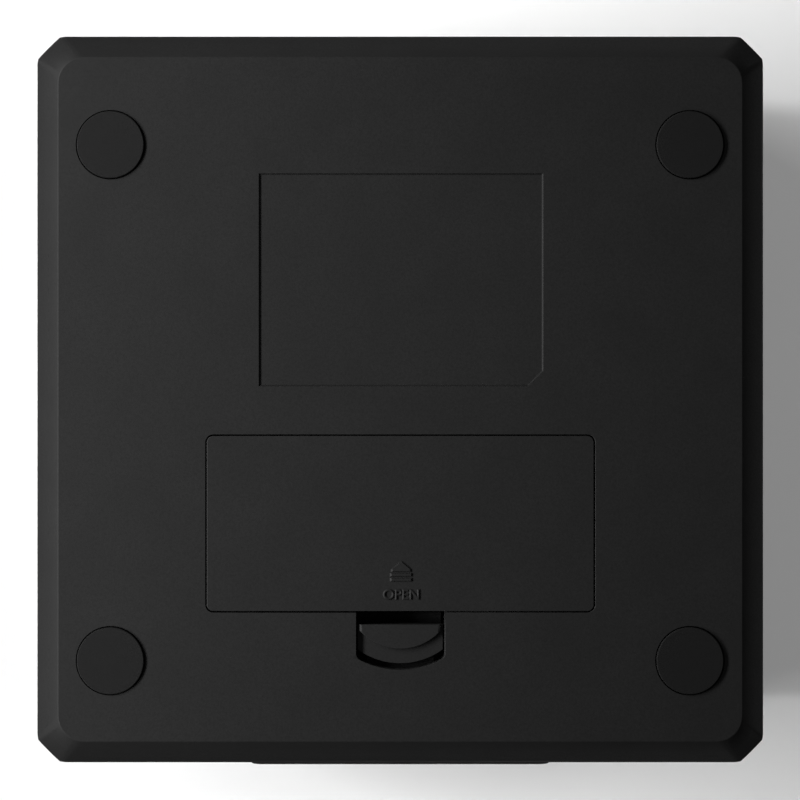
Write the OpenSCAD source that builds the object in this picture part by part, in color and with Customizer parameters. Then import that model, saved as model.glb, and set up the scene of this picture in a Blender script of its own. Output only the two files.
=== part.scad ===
// Cube-shaped desk alarm clock with a liquid crystal display, run by two AAA cells.
// Millimetres, +Z up. The display faces -Y, the set buttons face +Y, and the origin
// lies on the table plane under the middle of the case.

/* [Case] */
// Width of the case, left to right
case_w = 100; // [98:1:120]
// Depth of the case, front to rear
case_d = 100; // [98:1:120]
// Height of the case without its feet
case_h = 98; // [95:0.2:120]
// Wall thickness of the housing
wall = 2.4; // [2.2:0.1:2.6]
// Roof thickness of the housing
roof_t = 2.4; // [2:0.1:3]
// Rounding of the upright edges
corner_r = 4.1; // [3.6:0.1:6]
// Flat cut off each upright edge, measured along the wall
corner_cut = 3.2; // [2.6:0.1:4]
// Inward run of the sloped border round the base and the top
bevel_w = 3.1; // [2:0.1:4]
// Height of the sloped border
bevel_h = 2.8; // [2:0.1:4]
// Corner rounding of the flat base and top faces
face_corner_r = 3.6; // [2:0.1:6]
// Height of the base cover, up to the seam with the housing
base_h = 8; // [7:0.1:9]
// Floor thickness of the base cover
floor_t = 2; // [1.8:0.1:2.4]
// Height of the shadow groove at the seam
seam_h = 0.6; // [0.3:0.1:1]
// Depth of the shadow groove at the seam
seam_depth = 0.5; // [0.3:0.1:0.9]
// Height of the lip that locates the housing on the base cover
lip_h = 2.4; // [1.5:0.1:3]
// Thickness of that lip
lip_t = 1.2; // [1:0.1:1.6]
// Clearance of moulded parts that plug together
fit_gap = 0.15; // [0.1:0.05:0.25]

/* [Feet and case screws] */
// Diameter of a rubber foot
foot_d = 9.2; // [8:0.1:10]
// Height of a foot below the base face
foot_proud = 0.4; // [0.3:0.1:2]
// Depth of a foot's recess
foot_sink = 1.2; // [0.8:0.1:1.6]
// Gap round a foot in its recess
foot_gap = 0.15; // [0.05:0.05:0.3]
// Foot centre from the side wall
foot_inset_x = 10.3; // [9.5:0.1:12]
// Front foot centre from the front wall
foot_inset_front = 15.1; // [14:0.1:18]
// Rear foot centre from the rear wall
foot_inset_rear = 14.2; // [12:0.1:16]
// Shank diameter of a case screw
case_screw_d = 2.8; // [2.4:0.1:3]
// Length of a case screw under its head
case_screw_l = 12; // [10:1:14]
// Diameter of a case screw's column and boss
case_boss_d = 7.6; // [7:0.1:8.4]

/* [Label recess] */
// Width of the bare label recess
label_w = 38.8; // [30:0.1:50]
// Depth of the label recess, front to rear
label_d = 29.2; // [20:0.2:32]
// How deep the recess is sunk
label_sink = 0.25; // [0.1:0.05:0.5]
// Recess centre in front of the case centre
label_front = 16.4; // [15:0.1:20]
// Cut on the recess's rear right corner
label_cut = 2; // [1:0.1:4]

/* [Cells and contacts] */
// Diameter of an AAA cell
cell_d = 10.5; // [10.3:0.1:10.7]
// Length of an AAA cell with its nub
cell_l = 44.5; // [44:0.1:45]
// Gap beside each cell
cell_gap = 0.2; // [0.1:0.05:0.3]
// Gap between a cell and the closed door
cell_lift = 0.5; // [0.3:0.1:0.8]
// Sheet thickness of the contacts
contact_t = 0.4; // [0.3:0.05:0.5]
// Worked length of a contact spring
contact_spring_l = 4; // [3.8:0.1:4.6]
// Height of a positive contact's dimple
dimple_h = 0.85; // [0.6:0.05:1]
// Wall thickness of the cell tub
tub_wall = 1.4; // [1.2:0.1:1.6]

/* [Battery door] */
// Width of the ledge that the door closes on
ledge_w = 1.4; // [1.2:0.1:1.6]
// Door centre behind the case centre
door_back = 17; // [16.5:0.1:18]
// Thickness of the door
door_t = 1.5; // [1.3:0.1:1.7]
// Gap round the door
door_gap = 0.2; // [0.15:0.05:0.35]
// Corner rounding of the door
door_r = 0.9; // [0.5:0.1:1.5]
// Width of a hinge tab
tab_w = 5; // [4:0.5:7]
// Hinge tab centre from the door's middle
tab_x = 15; // [12:0.5:18]
// Forward reach of a hinge tab
tab_reach = 2; // [1.6:0.1:2.2]

/* [Door latch] */
// Width of the latch
latch_w = 11.2; // [9:0.1:13]
// Gap beside the latch in its notch
latch_gap = 0.45; // [0.3:0.05:0.6]
// Open slot between the door opening and the finger pad
pad_slot = 1.65; // [1.5:0.05:2]
// Length of the raised finger pad
pad_d = 3.35; // [3:0.05:3.6]
// Radius of the pad's round end
pad_r = 7.4; // [7:0.1:10]
// Length of the lower step behind the pad
step_d = 2; // [1.6:0.1:2.4]
// Radius of the step's round end
step_r = 10; // [8:0.1:12]
// Drop from the pad to the step
step_drop = 0.6; // [0.3:0.1:0.8]
// Gap beside the latch's step in its notch
step_gap = 0.2; // [0.2:0.05:0.45]
// Gap from the step to the end of the notch
notch_gap = 0.85; // [0.7:0.05:1.2]
// Radius of the notch's round end
notch_r = 12.2; // [9:0.1:14]
// Thickness of the latch's leg
latch_leg_t = 1.2; // [1:0.1:1.4]
// Height of the bend above the base face
bend_h = 7.2; // [6.8:0.1:7.6]
// Radius of the bend's core
bend_r = 0.7; // [0.6:0.05:0.75]

/* [Display] */
// Width of the display lens
lens_w = 84; // [80:1:88]
// Height of the display lens
lens_h = 70; // [66:1:72]
// Corner rounding of the lens
lens_r = 4; // [2:0.5:6]
// Thickness of the lens
lens_t = 1.4; // [1:0.1:1.5]
// Display centre above the middle of the case
display_lift = 2.6; // [1.2:0.1:4.2]
// Width of the liquid crystal glass
lcd_w = 76; // [70:1:77]
// Height of the liquid crystal glass
lcd_h = 58; // [54:1:60]
// Thickness of the liquid crystal glass
lcd_t = 2.2; // [1.8:0.1:2.6]
// Hidden border of the glass
lcd_border = 2.2; // [1.8:0.1:3]
// Thickness of the light guide
guide_t = 2.6; // [2.2:0.1:3]
// Height of a zebra strip
zebra_h = 2.4; // [2:0.1:2.8]
// Thickness of the display frame's walls
frame_t = 2; // [1.5:0.1:2]
// Thickness of all circuit boards
board_t = 1.6; // [1.2:0.1:1.6]

/* [Snooze bar] */
// Length of the snooze bar
snooze_w = 64; // [58:1:66]
// Depth of the snooze bar, front to rear
snooze_d = 24; // [22:1:30]
// Corner rounding of the snooze bar
snooze_r = 4; // [2:0.5:8]
// Height of the bar above the roof
snooze_proud = 1.6; // [1.4:0.1:3]
// Press travel of the bar
snooze_travel = 1.2; // [0.8:0.1:1.2]
// Gap round the bar in the roof
snooze_gap = 0.3; // [0.2:0.05:0.5]
// Flange that keeps the bar under the roof
snooze_flange = 1.5; // [1:0.1:2]
// Guide post centre from the bar's middle
snooze_post_x = 22; // [18:0.5:24]
// Radius of a guide post
snooze_post_r = 1.6; // [1.4:0.1:1.8]
// Coil radius of a snooze spring, at the wire's middle
snooze_coil_r = 2.7; // [2.5:0.1:3]
// Wire diameter of a snooze spring
snooze_wire_d = 0.5; // [0.4:0.05:0.6]

/* [Rear controls] */
// Width of the rear control panel
panel_w = 42; // [40:1:46]
// Height of the rear control panel
panel_h = 24; // [23:1:28]
// Corner rounding of the panel
panel_r = 1.6; // [1:0.1:3]
// Height of the panel off the rear wall
panel_proud = 1.2; // [1:0.1:1.3]
// Lower edge of the panel above the base face
panel_up = 11.2; // [11.2:0.1:14]
// Border of the panel that overlaps the wall
panel_border = 2; // [1.5:0.1:2]
// Depth of the panel's plug from the outside of the wall
plug_t = 3; // [2.8:0.1:3.4]
// Diameter of a set button
button_d = 6; // [5:0.1:6.4]
// Spacing of the set buttons
button_pitch = 9; // [8.6:0.1:9.2]
// Height of a button off the panel
button_proud = 0.3; // [0.1:0.1:0.4]
// Gap round a button
button_gap = 0.15; // [0.1:0.05:0.2]
// Press travel of a button
button_travel = 0.5; // [0.3:0.1:0.6]
// Width of the alarm switch's knob
knob_w = 4; // [3.5:0.1:5]
// Height of the alarm switch's knob
knob_h = 2.6; // [2:0.1:3]
// Slide travel of the knob
knob_travel = 3; // [2:0.1:3]
// Radius of the buzzer disc
buzzer_r = 13.5; // [13:0.1:15]
// Buzzer centre above the base face
buzzer_up = 64; // [60:0.5:70]
// Radius of a grille hole
grille_r = 1; // [0.6:0.1:1.2]
// Spacing of the grille holes
grille_pitch = 4; // [3:0.1:4.4]

/* [Hidden] */
$fn = 64;
eps = 0.02;

// Height levels
z_face = foot_proud;
z_floor = z_face + floor_t;
z_seam = z_face + base_h;
z_top = z_face + case_h;
z_roof = z_top - roof_t;

// Depth levels
y_front = -case_d / 2;
y_rear = case_d / 2;
y_front_in = y_front + wall;
y_rear_in = y_rear - wall;
x_in = case_w / 2 - wall;

// Feet and screw columns
foot_x = case_w / 2 - foot_inset_x;
foot_front_y = y_front + foot_inset_front;
foot_rear_y = y_rear - foot_inset_rear;
foot_places = [
    [-foot_x, foot_front_y],
    [foot_x, foot_front_y],
    [-foot_x, foot_rear_y],
    [foot_x, foot_rear_y]
];
foot_seat = z_face + foot_sink;
case_head_d = case_screw_d + 2.6;
case_head_h = 1.8;
screw_gap = 0.05;
screw_seat = foot_seat + case_head_h + 0.2;
column_top = screw_seat + 2.4;
boss_foot = column_top + screw_gap;
boss_top = z_face + 26;
rib_t = 1.8;

// Cell tub and door
tub_d = 2 * cell_d + 3 * cell_gap;
tub_w = cell_l + contact_spring_l + dimple_h + 2 * contact_t + 0.05 + 2 * cell_gap;
bay_w = tub_w + 2 * ledge_w;
bay_d = tub_d + 2 * ledge_w;
bay_front = door_back - bay_d / 2;
bay_rear = door_back + bay_d / 2;
door_seat = z_face + door_t + 0.1;
door_front = bay_front + door_gap;
door_rear = bay_rear - door_gap;
z_cell = door_seat + cell_lift + cell_d / 2;
tub_roof = z_cell + cell_d / 2 + cell_gap;
tub_top = tub_roof + tub_wall;
cell_y = (cell_d + cell_gap) / 2;
contact_x = tub_w / 2;
plate_h = cell_d - 2;
plate_w = cell_d - 1.5;
tail_z = z_cell + plate_h / 2 - 1;
tail_w = 3;
tail_end = contact_x + tub_wall + 2;
tab_t = 1.2;
tab_foot = z_floor + 0.15;
tab_top = tab_foot + tab_t;
tab_deep = 1.5;
tab_gap = 0.4;
tab_swing = 0.9;

// Door latch
notch_w = latch_w + 2 * latch_gap;
pad_front = bay_rear + pad_slot;
pad_end = pad_front + pad_d;
step_end = pad_end + step_d;
notch_end = step_end + notch_gap;
pad_face = z_face + 0.1;
step_face = pad_face + step_drop;
step_t = 1.3;
bend_y = pad_front - 0.9;
bend_z = z_face + bend_h;
bend_gap = 0.05;
knuckle_r = 1.5;
door_leg_t = 1;
hook_out = 2.6;
hook_foot = bend_z - 2.4;
catch_gap = 0.7;
catch_top = hook_foot - 0.3;
pocket_wall = 1.4;
pocket_roof = bend_z + knuckle_r + 1;

// Display stack, from the lens to the main board
z_display = z_face + case_h / 2 + display_lift;
lens_gap = 0.15;
lcd_front = y_front_in + 0.1;
lcd_back = lcd_front + lcd_t;
guide_front = lcd_back + 0.1;
board_front = guide_front + guide_t + 0.1;
board_back = board_front + board_t;
view_w = lcd_w - 2 * lcd_border;
view_h = lcd_h - 2 * lcd_border;
board_boss_r = 2.1;
board_boss_gap = 0.5;
board_boss_x = 0.4 * lcd_w;
board_boss_z = lcd_h / 2 + fit_gap + frame_t + board_boss_gap + board_boss_r;
board_edge = 0.5;
board_w = lcd_w + 2 * (fit_gap + frame_t + board_edge);
board_h = 2 * (board_boss_z + board_boss_r + board_edge);
guide_h = lcd_h - 2 * (zebra_h + 1);
small_screw_d = 1.8;
small_head_d = 3.6;
small_head_h = 1.2;
small_hole_gap = 0.15;
board_screw_l = 5;
snooze_screw_l = 6;
control_screw_l = 5;
chip_r = 7;
chip_h = 1.6;
can_r = 1;
can_l = 6;
lamp_w = 2;
lamp_t = 1.8;
lamp_gap = 0.2;

// Snooze bar and its board
snooze_top = z_top + snooze_proud;
flange_gap = 0.2;
flange_t = 1.2;
flange_top = z_roof - flange_gap;
flange_foot = flange_top - flange_t;
snooze_room = 9;
snooze_board_top = z_roof - snooze_room;
snooze_board_foot = snooze_board_top - board_t;
snooze_boss_x = snooze_w / 2 + snooze_flange + 4;
snooze_boss_r = 2.6;
snooze_skin = 1.8;
snooze_well = snooze_top - snooze_skin;
plunger_r = 1.7;
plunger_gap = 0.05;
switch_w = 6;
snooze_switch_h = 3.6;
snooze_stop_gap = 0.1;
snooze_plunger_top = snooze_board_top + snooze_switch_h + snooze_travel + snooze_stop_gap;
snooze_bore_foot = snooze_board_top + 0.5;
post_gap = 0.2;

// Rear controls
panel_z = z_face + panel_up + panel_h / 2;
panel_face = y_rear + panel_proud;
plug_end = y_rear - plug_t;
plug_w = panel_w - 2 * panel_border;
plug_h = panel_h - 2 * panel_border;
button_row_z = panel_z + 4.5;
button_x = [for (i = [-1.5:1:1.5]) i * button_pitch];
button_face = panel_face + button_proud;
button_flange_r = button_d / 2 + 0.9;
button_flange_top = plug_end - 0.2;
button_flange_foot = button_flange_top - 1;
switch_h = 3.2;
switch_top = button_flange_foot - 1;
control_board_out = switch_top - switch_h;
control_board_in = control_board_out - board_t;
plunger_foot = switch_top - 0.9;
knob_z = panel_z - 6.5;
knob_rest_x = -knob_travel / 2;
slider_top = plug_end - 0.3;
slider_foot = slider_top - 0.8;
slide_body_h = slider_foot - control_board_out - 0.3;
post_x = plug_w / 2 - 2.4;
post_r = 1.9;
z_buzzer = z_face + buzzer_up;
buzzer_ring_r = buzzer_r + 1.6;
buzzer_seat = y_rear_in - 2.5;
buzzer_t = 0.3;
ceramic_r = buzzer_r - 3.5;
ceramic_t = 0.25;

// Lead routes, chosen by hand between their soldered ends
lead_r = 0.6;
positive_y = door_back - cell_y;
negative_y = door_back + cell_y;
red_pad = [lcd_w / 2 - 12, board_back, z_display - 20];
black_pad = [lcd_w / 2 - 8, board_back, z_display - 15];
red_route = battery_route([tail_end, positive_y, tail_z], red_pad, 6.5);
black_route = battery_route([tail_end, negative_y, tail_z], black_pad, 8);
buzzer_red_route = slack_route([3, buzzer_seat - buzzer_t - ceramic_t, z_buzzer],
    [10, board_back, z_display + 4], 5);
buzzer_black_route = slack_route([-ceramic_r - 2, buzzer_seat - buzzer_t, z_buzzer],
    [-6, board_back, z_display - 2], 8);
control_ribbon_route = slack_route([0, control_board_in, panel_z + 6],
    [0, board_back, z_display - 26], 5);
snooze_ribbon_route = drop_route([-14, -snooze_d / 2 + 4, snooze_board_foot],
    [-14, board_back, z_display + 22]);
ribbon_w = 8;
ribbon_t = 0.8;

// Shared shapes

// Rectangle with round corners, centred
module rounded_rect(w, h, r) {
    square([w - 2 * r, h], center = true);
    square([w, h - 2 * r], center = true);
    for (x = [-1, 1], y = [-1, 1])
        translate([x * (w / 2 - r), y * (h / 2 - r)]) circle(r);
}

// Box between two corners
module block(low, high) {
    translate(low) cube(high - low);
}

// Lying plate with round corners between two heights
module slab(w, d, r, z0, z1) {
    translate([0, 0, z0]) linear_extrude(z1 - z0) rounded_rect(w, d, r);
}

// Standing plate with round corners between two depths, centred at height z
module standing_slab(w, h, r, z, y0, y1) {
    translate([0, y1, z]) rotate([90, 0, 0]) linear_extrude(y1 - y0) rounded_rect(w, h, r);
}

// Upright rod
module rod_z(place, r, z0, z1) {
    translate([place[0], place[1], z0]) cylinder(r = r, h = z1 - z0);
}

// Rod from front to rear
module rod_y(x, z, r, y0, y1) {
    translate([x, y1, z]) rotate([90, 0, 0]) cylinder(r = r, h = y1 - y0);
}

// Rod from left to right
module rod_x(y, z, r, x0, x1) {
    translate([x0, y, z]) rotate([0, 90, 0]) cylinder(r = r, h = x1 - x0);
}

// Pan-head screw along +Z with its head under the origin and a cross recess
module screw(d, l, head_d, head_h) {
    difference() {
        union() {
            translate([0, 0, -head_h]) cylinder(d = head_d, h = head_h);
            translate([0, 0, -eps]) cylinder(d = d, h = l + eps);
        }
        for (a = [0, 90])
            rotate(a) translate([-head_d / 3, -head_d / 12, -head_h - eps])
                cube([head_d * 2 / 3, head_d / 6, head_h * 0.6]);
    }
}

// Push switch along +Z with a bore for its plunger
module switch_body(h, bore_foot) {
    difference() {
        translate([-switch_w / 2, -switch_w / 2, 0]) cube([switch_w, switch_w, h]);
        translate([0, 0, bore_foot]) cylinder(r = plunger_r + plunger_gap, h = h);
    }
}

function unit(v) = v / norm(v);

// Value at a share t of the way from a to b
function mix(a, b, t) = a + (b - a) * t;

// Route of a lead that leaves a sideways and bulges out before it meets b from behind
function battery_route(a, b, bulge) = [
    a, a + bulge * [0.55, 0, 0.15], mix(a, b, 0.17) + bulge * [1, 0, 0.5],
    mix(a, b, 0.5) + bulge * [0.85, 0, 0.4], mix(a, b, 0.83) + bulge * [0.2, 0, 0.3],
    b + [0, 3, 0], b
];

// Route from a forwards to b that sags between them
function slack_route(a, b, sag) = [
    a, a - [0, 6.5, 0], mix(a, b, 0.29) - [0, 0, sag],
    mix(a, b, 0.64) - [0, 0, sag], b + [0, 6.5, 0], b
];

// Route that drops from a and turns forwards to b
function drop_route(a, b) = [
    a, [a[0], a[1] - 1, mix(a[2], b[2], 0.47)], [a[0], mix(a[1], b[1], 0.24), b[2]],
    [b[0], mix(a[1], b[1], 0.61), mix(a[2], b[2], 1.18)], b + [0, 5, 0], b
];

// Point on a smooth curve through the middle two of four points
function curve_point(a, b, c, d, t) =
    0.5 * (2 * b + (c - a) * t + (2 * a - 5 * b + 4 * c - d) * t * t
        + (3 * b - a - 3 * c + d) * t * t * t);

// Smooth curve through all the points of a route
function smooth_route(p, steps) = concat(
    [for (i = [0:len(p) - 2], s = [0:steps - 1])
        curve_point(p[max(i - 1, 0)], p[i], p[i + 1], p[min(i + 2, len(p) - 1)], s / steps)],
    [p[len(p) - 1]]
);

function round_profile(r, sides) = [for (k = [0:sides - 1]) r * [cos(360 * k / sides), sin(360 * k / sides)]];

function flat_profile(w, t) = [[w, t], [-w, t], [-w, -t], [w, -t]] / 2;

// Solid that carries a profile along a path, with the profile's width square to the up direction
module sweep(path, profile, up) {
    n = len(path);
    m = len(profile);
    points = [for (i = [0:n - 1])
        let (
            along = unit(path[min(i + 1, n - 1)] - path[max(i - 1, 0)]),
            side = unit(cross(along, up)),
            rise = cross(side, along)
        )
        for (q = profile) path[i] + q[0] * side + q[1] * rise];
    sides = [for (i = [0:n - 2], k = [0:m - 1])
        [i * m + k, i * m + (k + 1) % m, (i + 1) * m + (k + 1) % m, (i + 1) * m + k]];
    first = [[for (k = [m - 1:-1:0]) k]];
    last = [[for (k = [0:m - 1]) (n - 1) * m + k]];
    polyhedron(points, concat(first, sides, last), convexity = 10);
}

// Points of a coil along +Z, from radius r0 to radius r1
function coil_path(r0, r1, h, turns, steps) = [for (i = [0:turns * steps])
    let (f = i / (turns * steps), r = r0 + (r1 - r0) * f)
    [r * cos(360 * i / steps), r * sin(360 * i / steps), h * f]];

// Plan outline of the case: a rounded rectangle with each corner cut flat
module case_outline(inset) {
    intersection() {
        rounded_rect(case_w - 2 * inset, case_d - 2 * inset, max(corner_r - inset, 0.8));
        corner_cutter(inset);
    }
}

module corner_cutter(inset) {
    rotate(45) square((case_w + case_d) / sqrt(2) - sqrt(2) * corner_cut - 2 * inset, center = true);
}

module case_prism(inset, z0, z1) {
    translate([0, 0, z0]) linear_extrude(z1 - z0) case_outline(inset);
}

// Sloped border from the flat face at z_flat to the full outline at z_full
module case_border(z_flat, z_full) {
    step = z_full > z_flat ? 0 : -eps;
    intersection() {
        hull() {
            translate([0, 0, z_flat + step]) linear_extrude(eps)
                rounded_rect(case_w - 2 * bevel_w, case_d - 2 * bevel_w, face_corner_r, $fn = 32);
            translate([0, 0, z_full]) linear_extrude(eps)
                rounded_rect(case_w, case_d, corner_r, $fn = 32);
        }
        translate([0, 0, min(z_flat, z_full) - 1]) linear_extrude(abs(z_full - z_flat) + 2) corner_cutter(0);
    }
}

// Round-ended tongue outline of the latch and its notch
module tongue_outline(w, y0, y1, r) {
    intersection() {
        translate([-w / 2, y0]) square([w, y1 - y0]);
        translate([0, y1 - r]) circle(r);
    }
}

// Base cover, feet and case screws

module base_cover() {
    color("#2b2b2c") difference() {
        union() {
            difference() {
                union() {
                    case_border(z_face, z_face + bevel_h);
                    case_prism(0, z_face + bevel_h, z_seam - seam_h);
                    case_prism(seam_depth, z_seam - seam_h - eps, z_seam);
                    case_prism(wall + fit_gap, z_seam - 1, z_seam + lip_h);
                }
                case_prism(wall + fit_gap + lip_t, z_floor, z_seam + lip_h + 1);
            }
            for (p = foot_places) rod_z(p, case_boss_d / 2 + 1, z_floor - 1, column_top);
            slab_at_door(bay_w + 2 * tub_wall, bay_d + 2 * tub_wall, z_floor - 1, door_seat + tub_wall);
            slab_at_door(tub_w + 2 * tub_wall, tub_d + 2 * tub_wall, z_floor - 1, tub_top);
            block([-notch_w / 2 - pocket_wall, door_back, z_floor - 1],
                [notch_w / 2 + pocket_wall, notch_end + pocket_wall, pocket_roof + pocket_wall]);
        }
        for (p = foot_places) {
            rod_z(p, foot_d / 2 + foot_gap, z_face - 1, foot_seat);
            rod_z(p, case_head_d / 2 + 0.2, foot_seat - 1, screw_seat);
            rod_z(p, case_screw_d / 2 + 0.2, screw_seat - 1, column_top + 1);
        }
        label_recess();
        translate([0, door_back, 0]) slab(bay_w, bay_d, door_r + door_gap, z_face - 1, door_seat);
        slab_at_door(tub_w, tub_d, z_face - 1, tub_roof);
        difference() {
            translate([0, 0, z_face - 1]) linear_extrude(pocket_roof - z_face + 1)
                tongue_outline(notch_w, door_back, notch_end, notch_r);
            catch_rib();
        }
        for (x = [-tab_x, tab_x]) {
            block([x - tab_w / 2 - tab_gap, bay_front - tab_reach - tab_gap, z_floor],
                [x + tab_w / 2 + tab_gap, bay_front + ledge_w + 1, tab_top + tab_swing]);
            block([x - tab_w / 2 - tab_gap, bay_front, door_seat - 0.5],
                [x + tab_w / 2 + tab_gap, bay_front + ledge_w + 1, z_floor + eps]);
        }
        for (y = [positive_y, negative_y])
            block([contact_x - 1, y - tail_w / 2 - 0.1, tail_z - contact_t / 2 - 0.1],
                [contact_x + tub_wall + 1, y + tail_w / 2 + 0.1, tail_z + contact_t / 2 + 0.1]);
    }
}

module slab_at_door(w, d, z0, z1) {
    block([-w / 2, door_back - d / 2, z0], [w / 2, door_back + d / 2, z1]);
}

module label_recess() {
    translate([0, -label_front, z_face - 1]) linear_extrude(1 + label_sink)
        polygon([
            [-label_w / 2, -label_d / 2], [label_w / 2, -label_d / 2],
            [label_w / 2, label_d / 2 - label_cut], [label_w / 2 - label_cut, label_d / 2],
            [-label_w / 2, label_d / 2]
        ]);
}

// Rib across the notch that the latch's hook stands over
module catch_rib() {
    block([-latch_w / 2 + 1, pad_front + latch_leg_t + hook_out + catch_gap, catch_top - 1.2],
        [latch_w / 2 - 1, notch_end + 1, catch_top]);
}

module foot(place) {
    color("#1f1f20") rod_z(place, foot_d / 2, 0, foot_seat);
}

module foot_front_left() { foot(foot_places[0]); }
module foot_front_right() { foot(foot_places[1]); }
module foot_rear_left() { foot(foot_places[2]); }
module foot_rear_right() { foot(foot_places[3]); }

module case_screws() {
    color("silver") for (p = foot_places)
        translate([p[0], p[1], screw_seat]) screw(case_screw_d, case_screw_l, case_head_d, case_head_h);
}

// Battery door, latch, cells and contacts

module battery_door() {
    color("#2b2b2c") {
        translate([0, door_back, 0])
            slab(bay_w - 2 * door_gap, bay_d - 2 * door_gap, door_r, z_face, z_face + door_t);
        for (x = [-tab_x, tab_x]) {
            block([x - tab_w / 2, door_front, z_face + door_t - eps],
                [x + tab_w / 2, door_front + tab_deep, tab_top]);
            block([x - tab_w / 2, door_front - tab_reach, tab_foot],
                [x + tab_w / 2, door_front + tab_deep, tab_top]);
        }
        block([-latch_w / 2 + 0.6, door_rear - door_leg_t, z_face + door_t - eps],
            [latch_w / 2 - 0.6, door_rear, bend_z + 0.4]);
        block([-latch_w / 2 + 0.6, door_rear - eps, bend_z - 0.4], [latch_w / 2 - 0.6, bend_y, bend_z + 0.4]);
        rod_x(bend_y, bend_z, bend_r, -latch_w / 2 + 0.6, latch_w / 2 - 0.6);
    }
}

module door_latch() {
    color("#2b2b2c") difference() {
        union() {
            translate([0, 0, pad_face]) linear_extrude(step_drop + eps)
                tongue_outline(latch_w, pad_front, pad_end, pad_r);
            translate([0, 0, step_face]) linear_extrude(step_t)
                tongue_outline(notch_w - 2 * step_gap, pad_front, step_end, step_r);
            block([-latch_w / 2, pad_front, step_face], [latch_w / 2, pad_front + latch_leg_t, bend_z]);
            rod_x(bend_y, bend_z, knuckle_r, -latch_w / 2, latch_w / 2);
            translate([latch_w / 2 - 1, 0, 0]) rotate([0, -90, 0]) linear_extrude(latch_w - 2)
                polygon([
                    [hook_foot, pad_front + latch_leg_t - 0.2],
                    [hook_foot, pad_front + latch_leg_t + hook_out],
                    [hook_foot + 0.5, pad_front + latch_leg_t + hook_out],
                    [bend_z, pad_front + latch_leg_t - 0.2]
                ]);
        }
        rod_x(bend_y, bend_z, bend_r + bend_gap, -latch_w, latch_w);
        block([-latch_w, bend_y - 3, bend_z - 3], [latch_w, bend_y - 0.45, bend_z + 3]);
        block([-latch_w, bend_y - 3, bend_z - 0.8], [latch_w, bend_y, bend_z + 0.8]);
    }
}

// Cell along +X with its positive nub towards +X, from its negative end
module cell() {
    rod_x(0, 0, cell_d / 2, 0, cell_l - 1);
    rod_x(0, 0, 1.9, cell_l - 1 - eps, cell_l);
}

cell_start = contact_x - contact_t - contact_spring_l;

module front_cell() {
    color("#3d6b8f") translate([-cell_start + cell_gap / 2, positive_y, z_cell]) cell();
}

module rear_cell() {
    color("#3d6b8f") translate([cell_start - cell_gap / 2, negative_y, z_cell]) mirror([1, 0, 0]) cell();
}

// Contact plate against the tub's right wall, reaching from depth y0 to depth y1
module contact_plate(y0, y1) {
    block([contact_x - contact_t, y0, z_cell - plate_h / 2], [contact_x, y1, z_cell + plate_h / 2]);
}

// Dimple that meets a cell's nub, on the right wall
module contact_dimple(y) {
    rod_x(y, z_cell, 2.2, contact_x - contact_t - dimple_h, contact_x - contact_t + eps);
}

// Cone-shaped coil that presses on a cell, on the right wall
module contact_spring(y) {
    translate([contact_x - contact_t, y, z_cell]) rotate([0, -90, 0])
        sweep(coil_path(3.4, 2.4, contact_spring_l - 0.35, 3.5, 16), round_profile(0.3, 6), [0, 0, 1]);
}

// Solder tail through the tub's right wall
module contact_tail(y) {
    block([contact_x - contact_t, y - tail_w / 2, tail_z - contact_t / 2],
        [tail_end, y + tail_w / 2, tail_z + contact_t / 2]);
}

module bridge_contact() {
    color("silver") mirror([1, 0, 0]) {
        contact_plate(positive_y - plate_w / 2, negative_y + plate_w / 2);
        contact_dimple(negative_y);
        contact_spring(positive_y);
    }
}

module positive_contact() {
    color("silver") {
        contact_plate(positive_y - plate_w / 2, positive_y + plate_w / 2);
        contact_dimple(positive_y);
        contact_tail(positive_y);
    }
}

module negative_contact() {
    color("silver") {
        contact_plate(negative_y - plate_w / 2, negative_y + plate_w / 2);
        contact_spring(negative_y);
        contact_tail(negative_y);
    }
}

// Housing

module housing() {
    color("#2b2b2c") difference() {
        union() {
            difference() {
                union() {
                    case_prism(0, z_seam, z_top - bevel_h);
                    case_border(z_top, z_top - bevel_h);
                }
                case_prism(wall, z_seam - 1, z_roof);
            }
            for (p = foot_places) case_boss(p);
            for (x = [-1, 1], z = [-1, 1])
                rod_y(x * board_boss_x, z_display + z * board_boss_z, board_boss_r,
                    y_front_in - 0.5, board_front);
            for (x = [-1, 1])
                rod_z([x * snooze_boss_x, 0], snooze_boss_r, snooze_board_top, z_roof + 0.5);
            rod_y(0, z_buzzer, buzzer_ring_r, buzzer_seat, y_rear_in + 0.5);
        }
        for (p = foot_places)
            rod_z(p, case_screw_d / 2 + screw_gap, boss_foot - 1, screw_seat + case_screw_l + 2);
        for (x = [-1, 1], z = [-1, 1])
            rod_y(x * board_boss_x, z_display + z * board_boss_z, small_screw_d / 2 + screw_gap,
                y_front_in + 0.2, board_front + 1);
        for (x = [-1, 1])
            rod_z([x * snooze_boss_x, 0], small_screw_d / 2 + screw_gap, snooze_board_top - 1, z_roof - 1);
        standing_slab(lens_w + 2 * lens_gap, lens_h + 2 * lens_gap, lens_r + lens_gap, z_display,
            y_front - 1, y_front + lens_t + 0.05);
        standing_slab(view_w, view_h, 1, z_display, y_front, y_front_in + 1);
        slab(snooze_w + 2 * snooze_gap, snooze_d + 2 * snooze_gap, snooze_r + snooze_gap,
            z_roof - 1, z_top + 1);
        standing_slab(plug_w + 2 * fit_gap, plug_h + 2 * fit_gap, panel_r, panel_z,
            y_rear_in - 1, y_rear + 1);
        rod_y(0, z_buzzer, buzzer_r - 0.9, buzzer_seat - 1, y_rear_in);
        for (p = grille_places) rod_y(p[0], z_buzzer + p[1], grille_r, y_rear_in - 1, y_rear + 1);
    }
}

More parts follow.
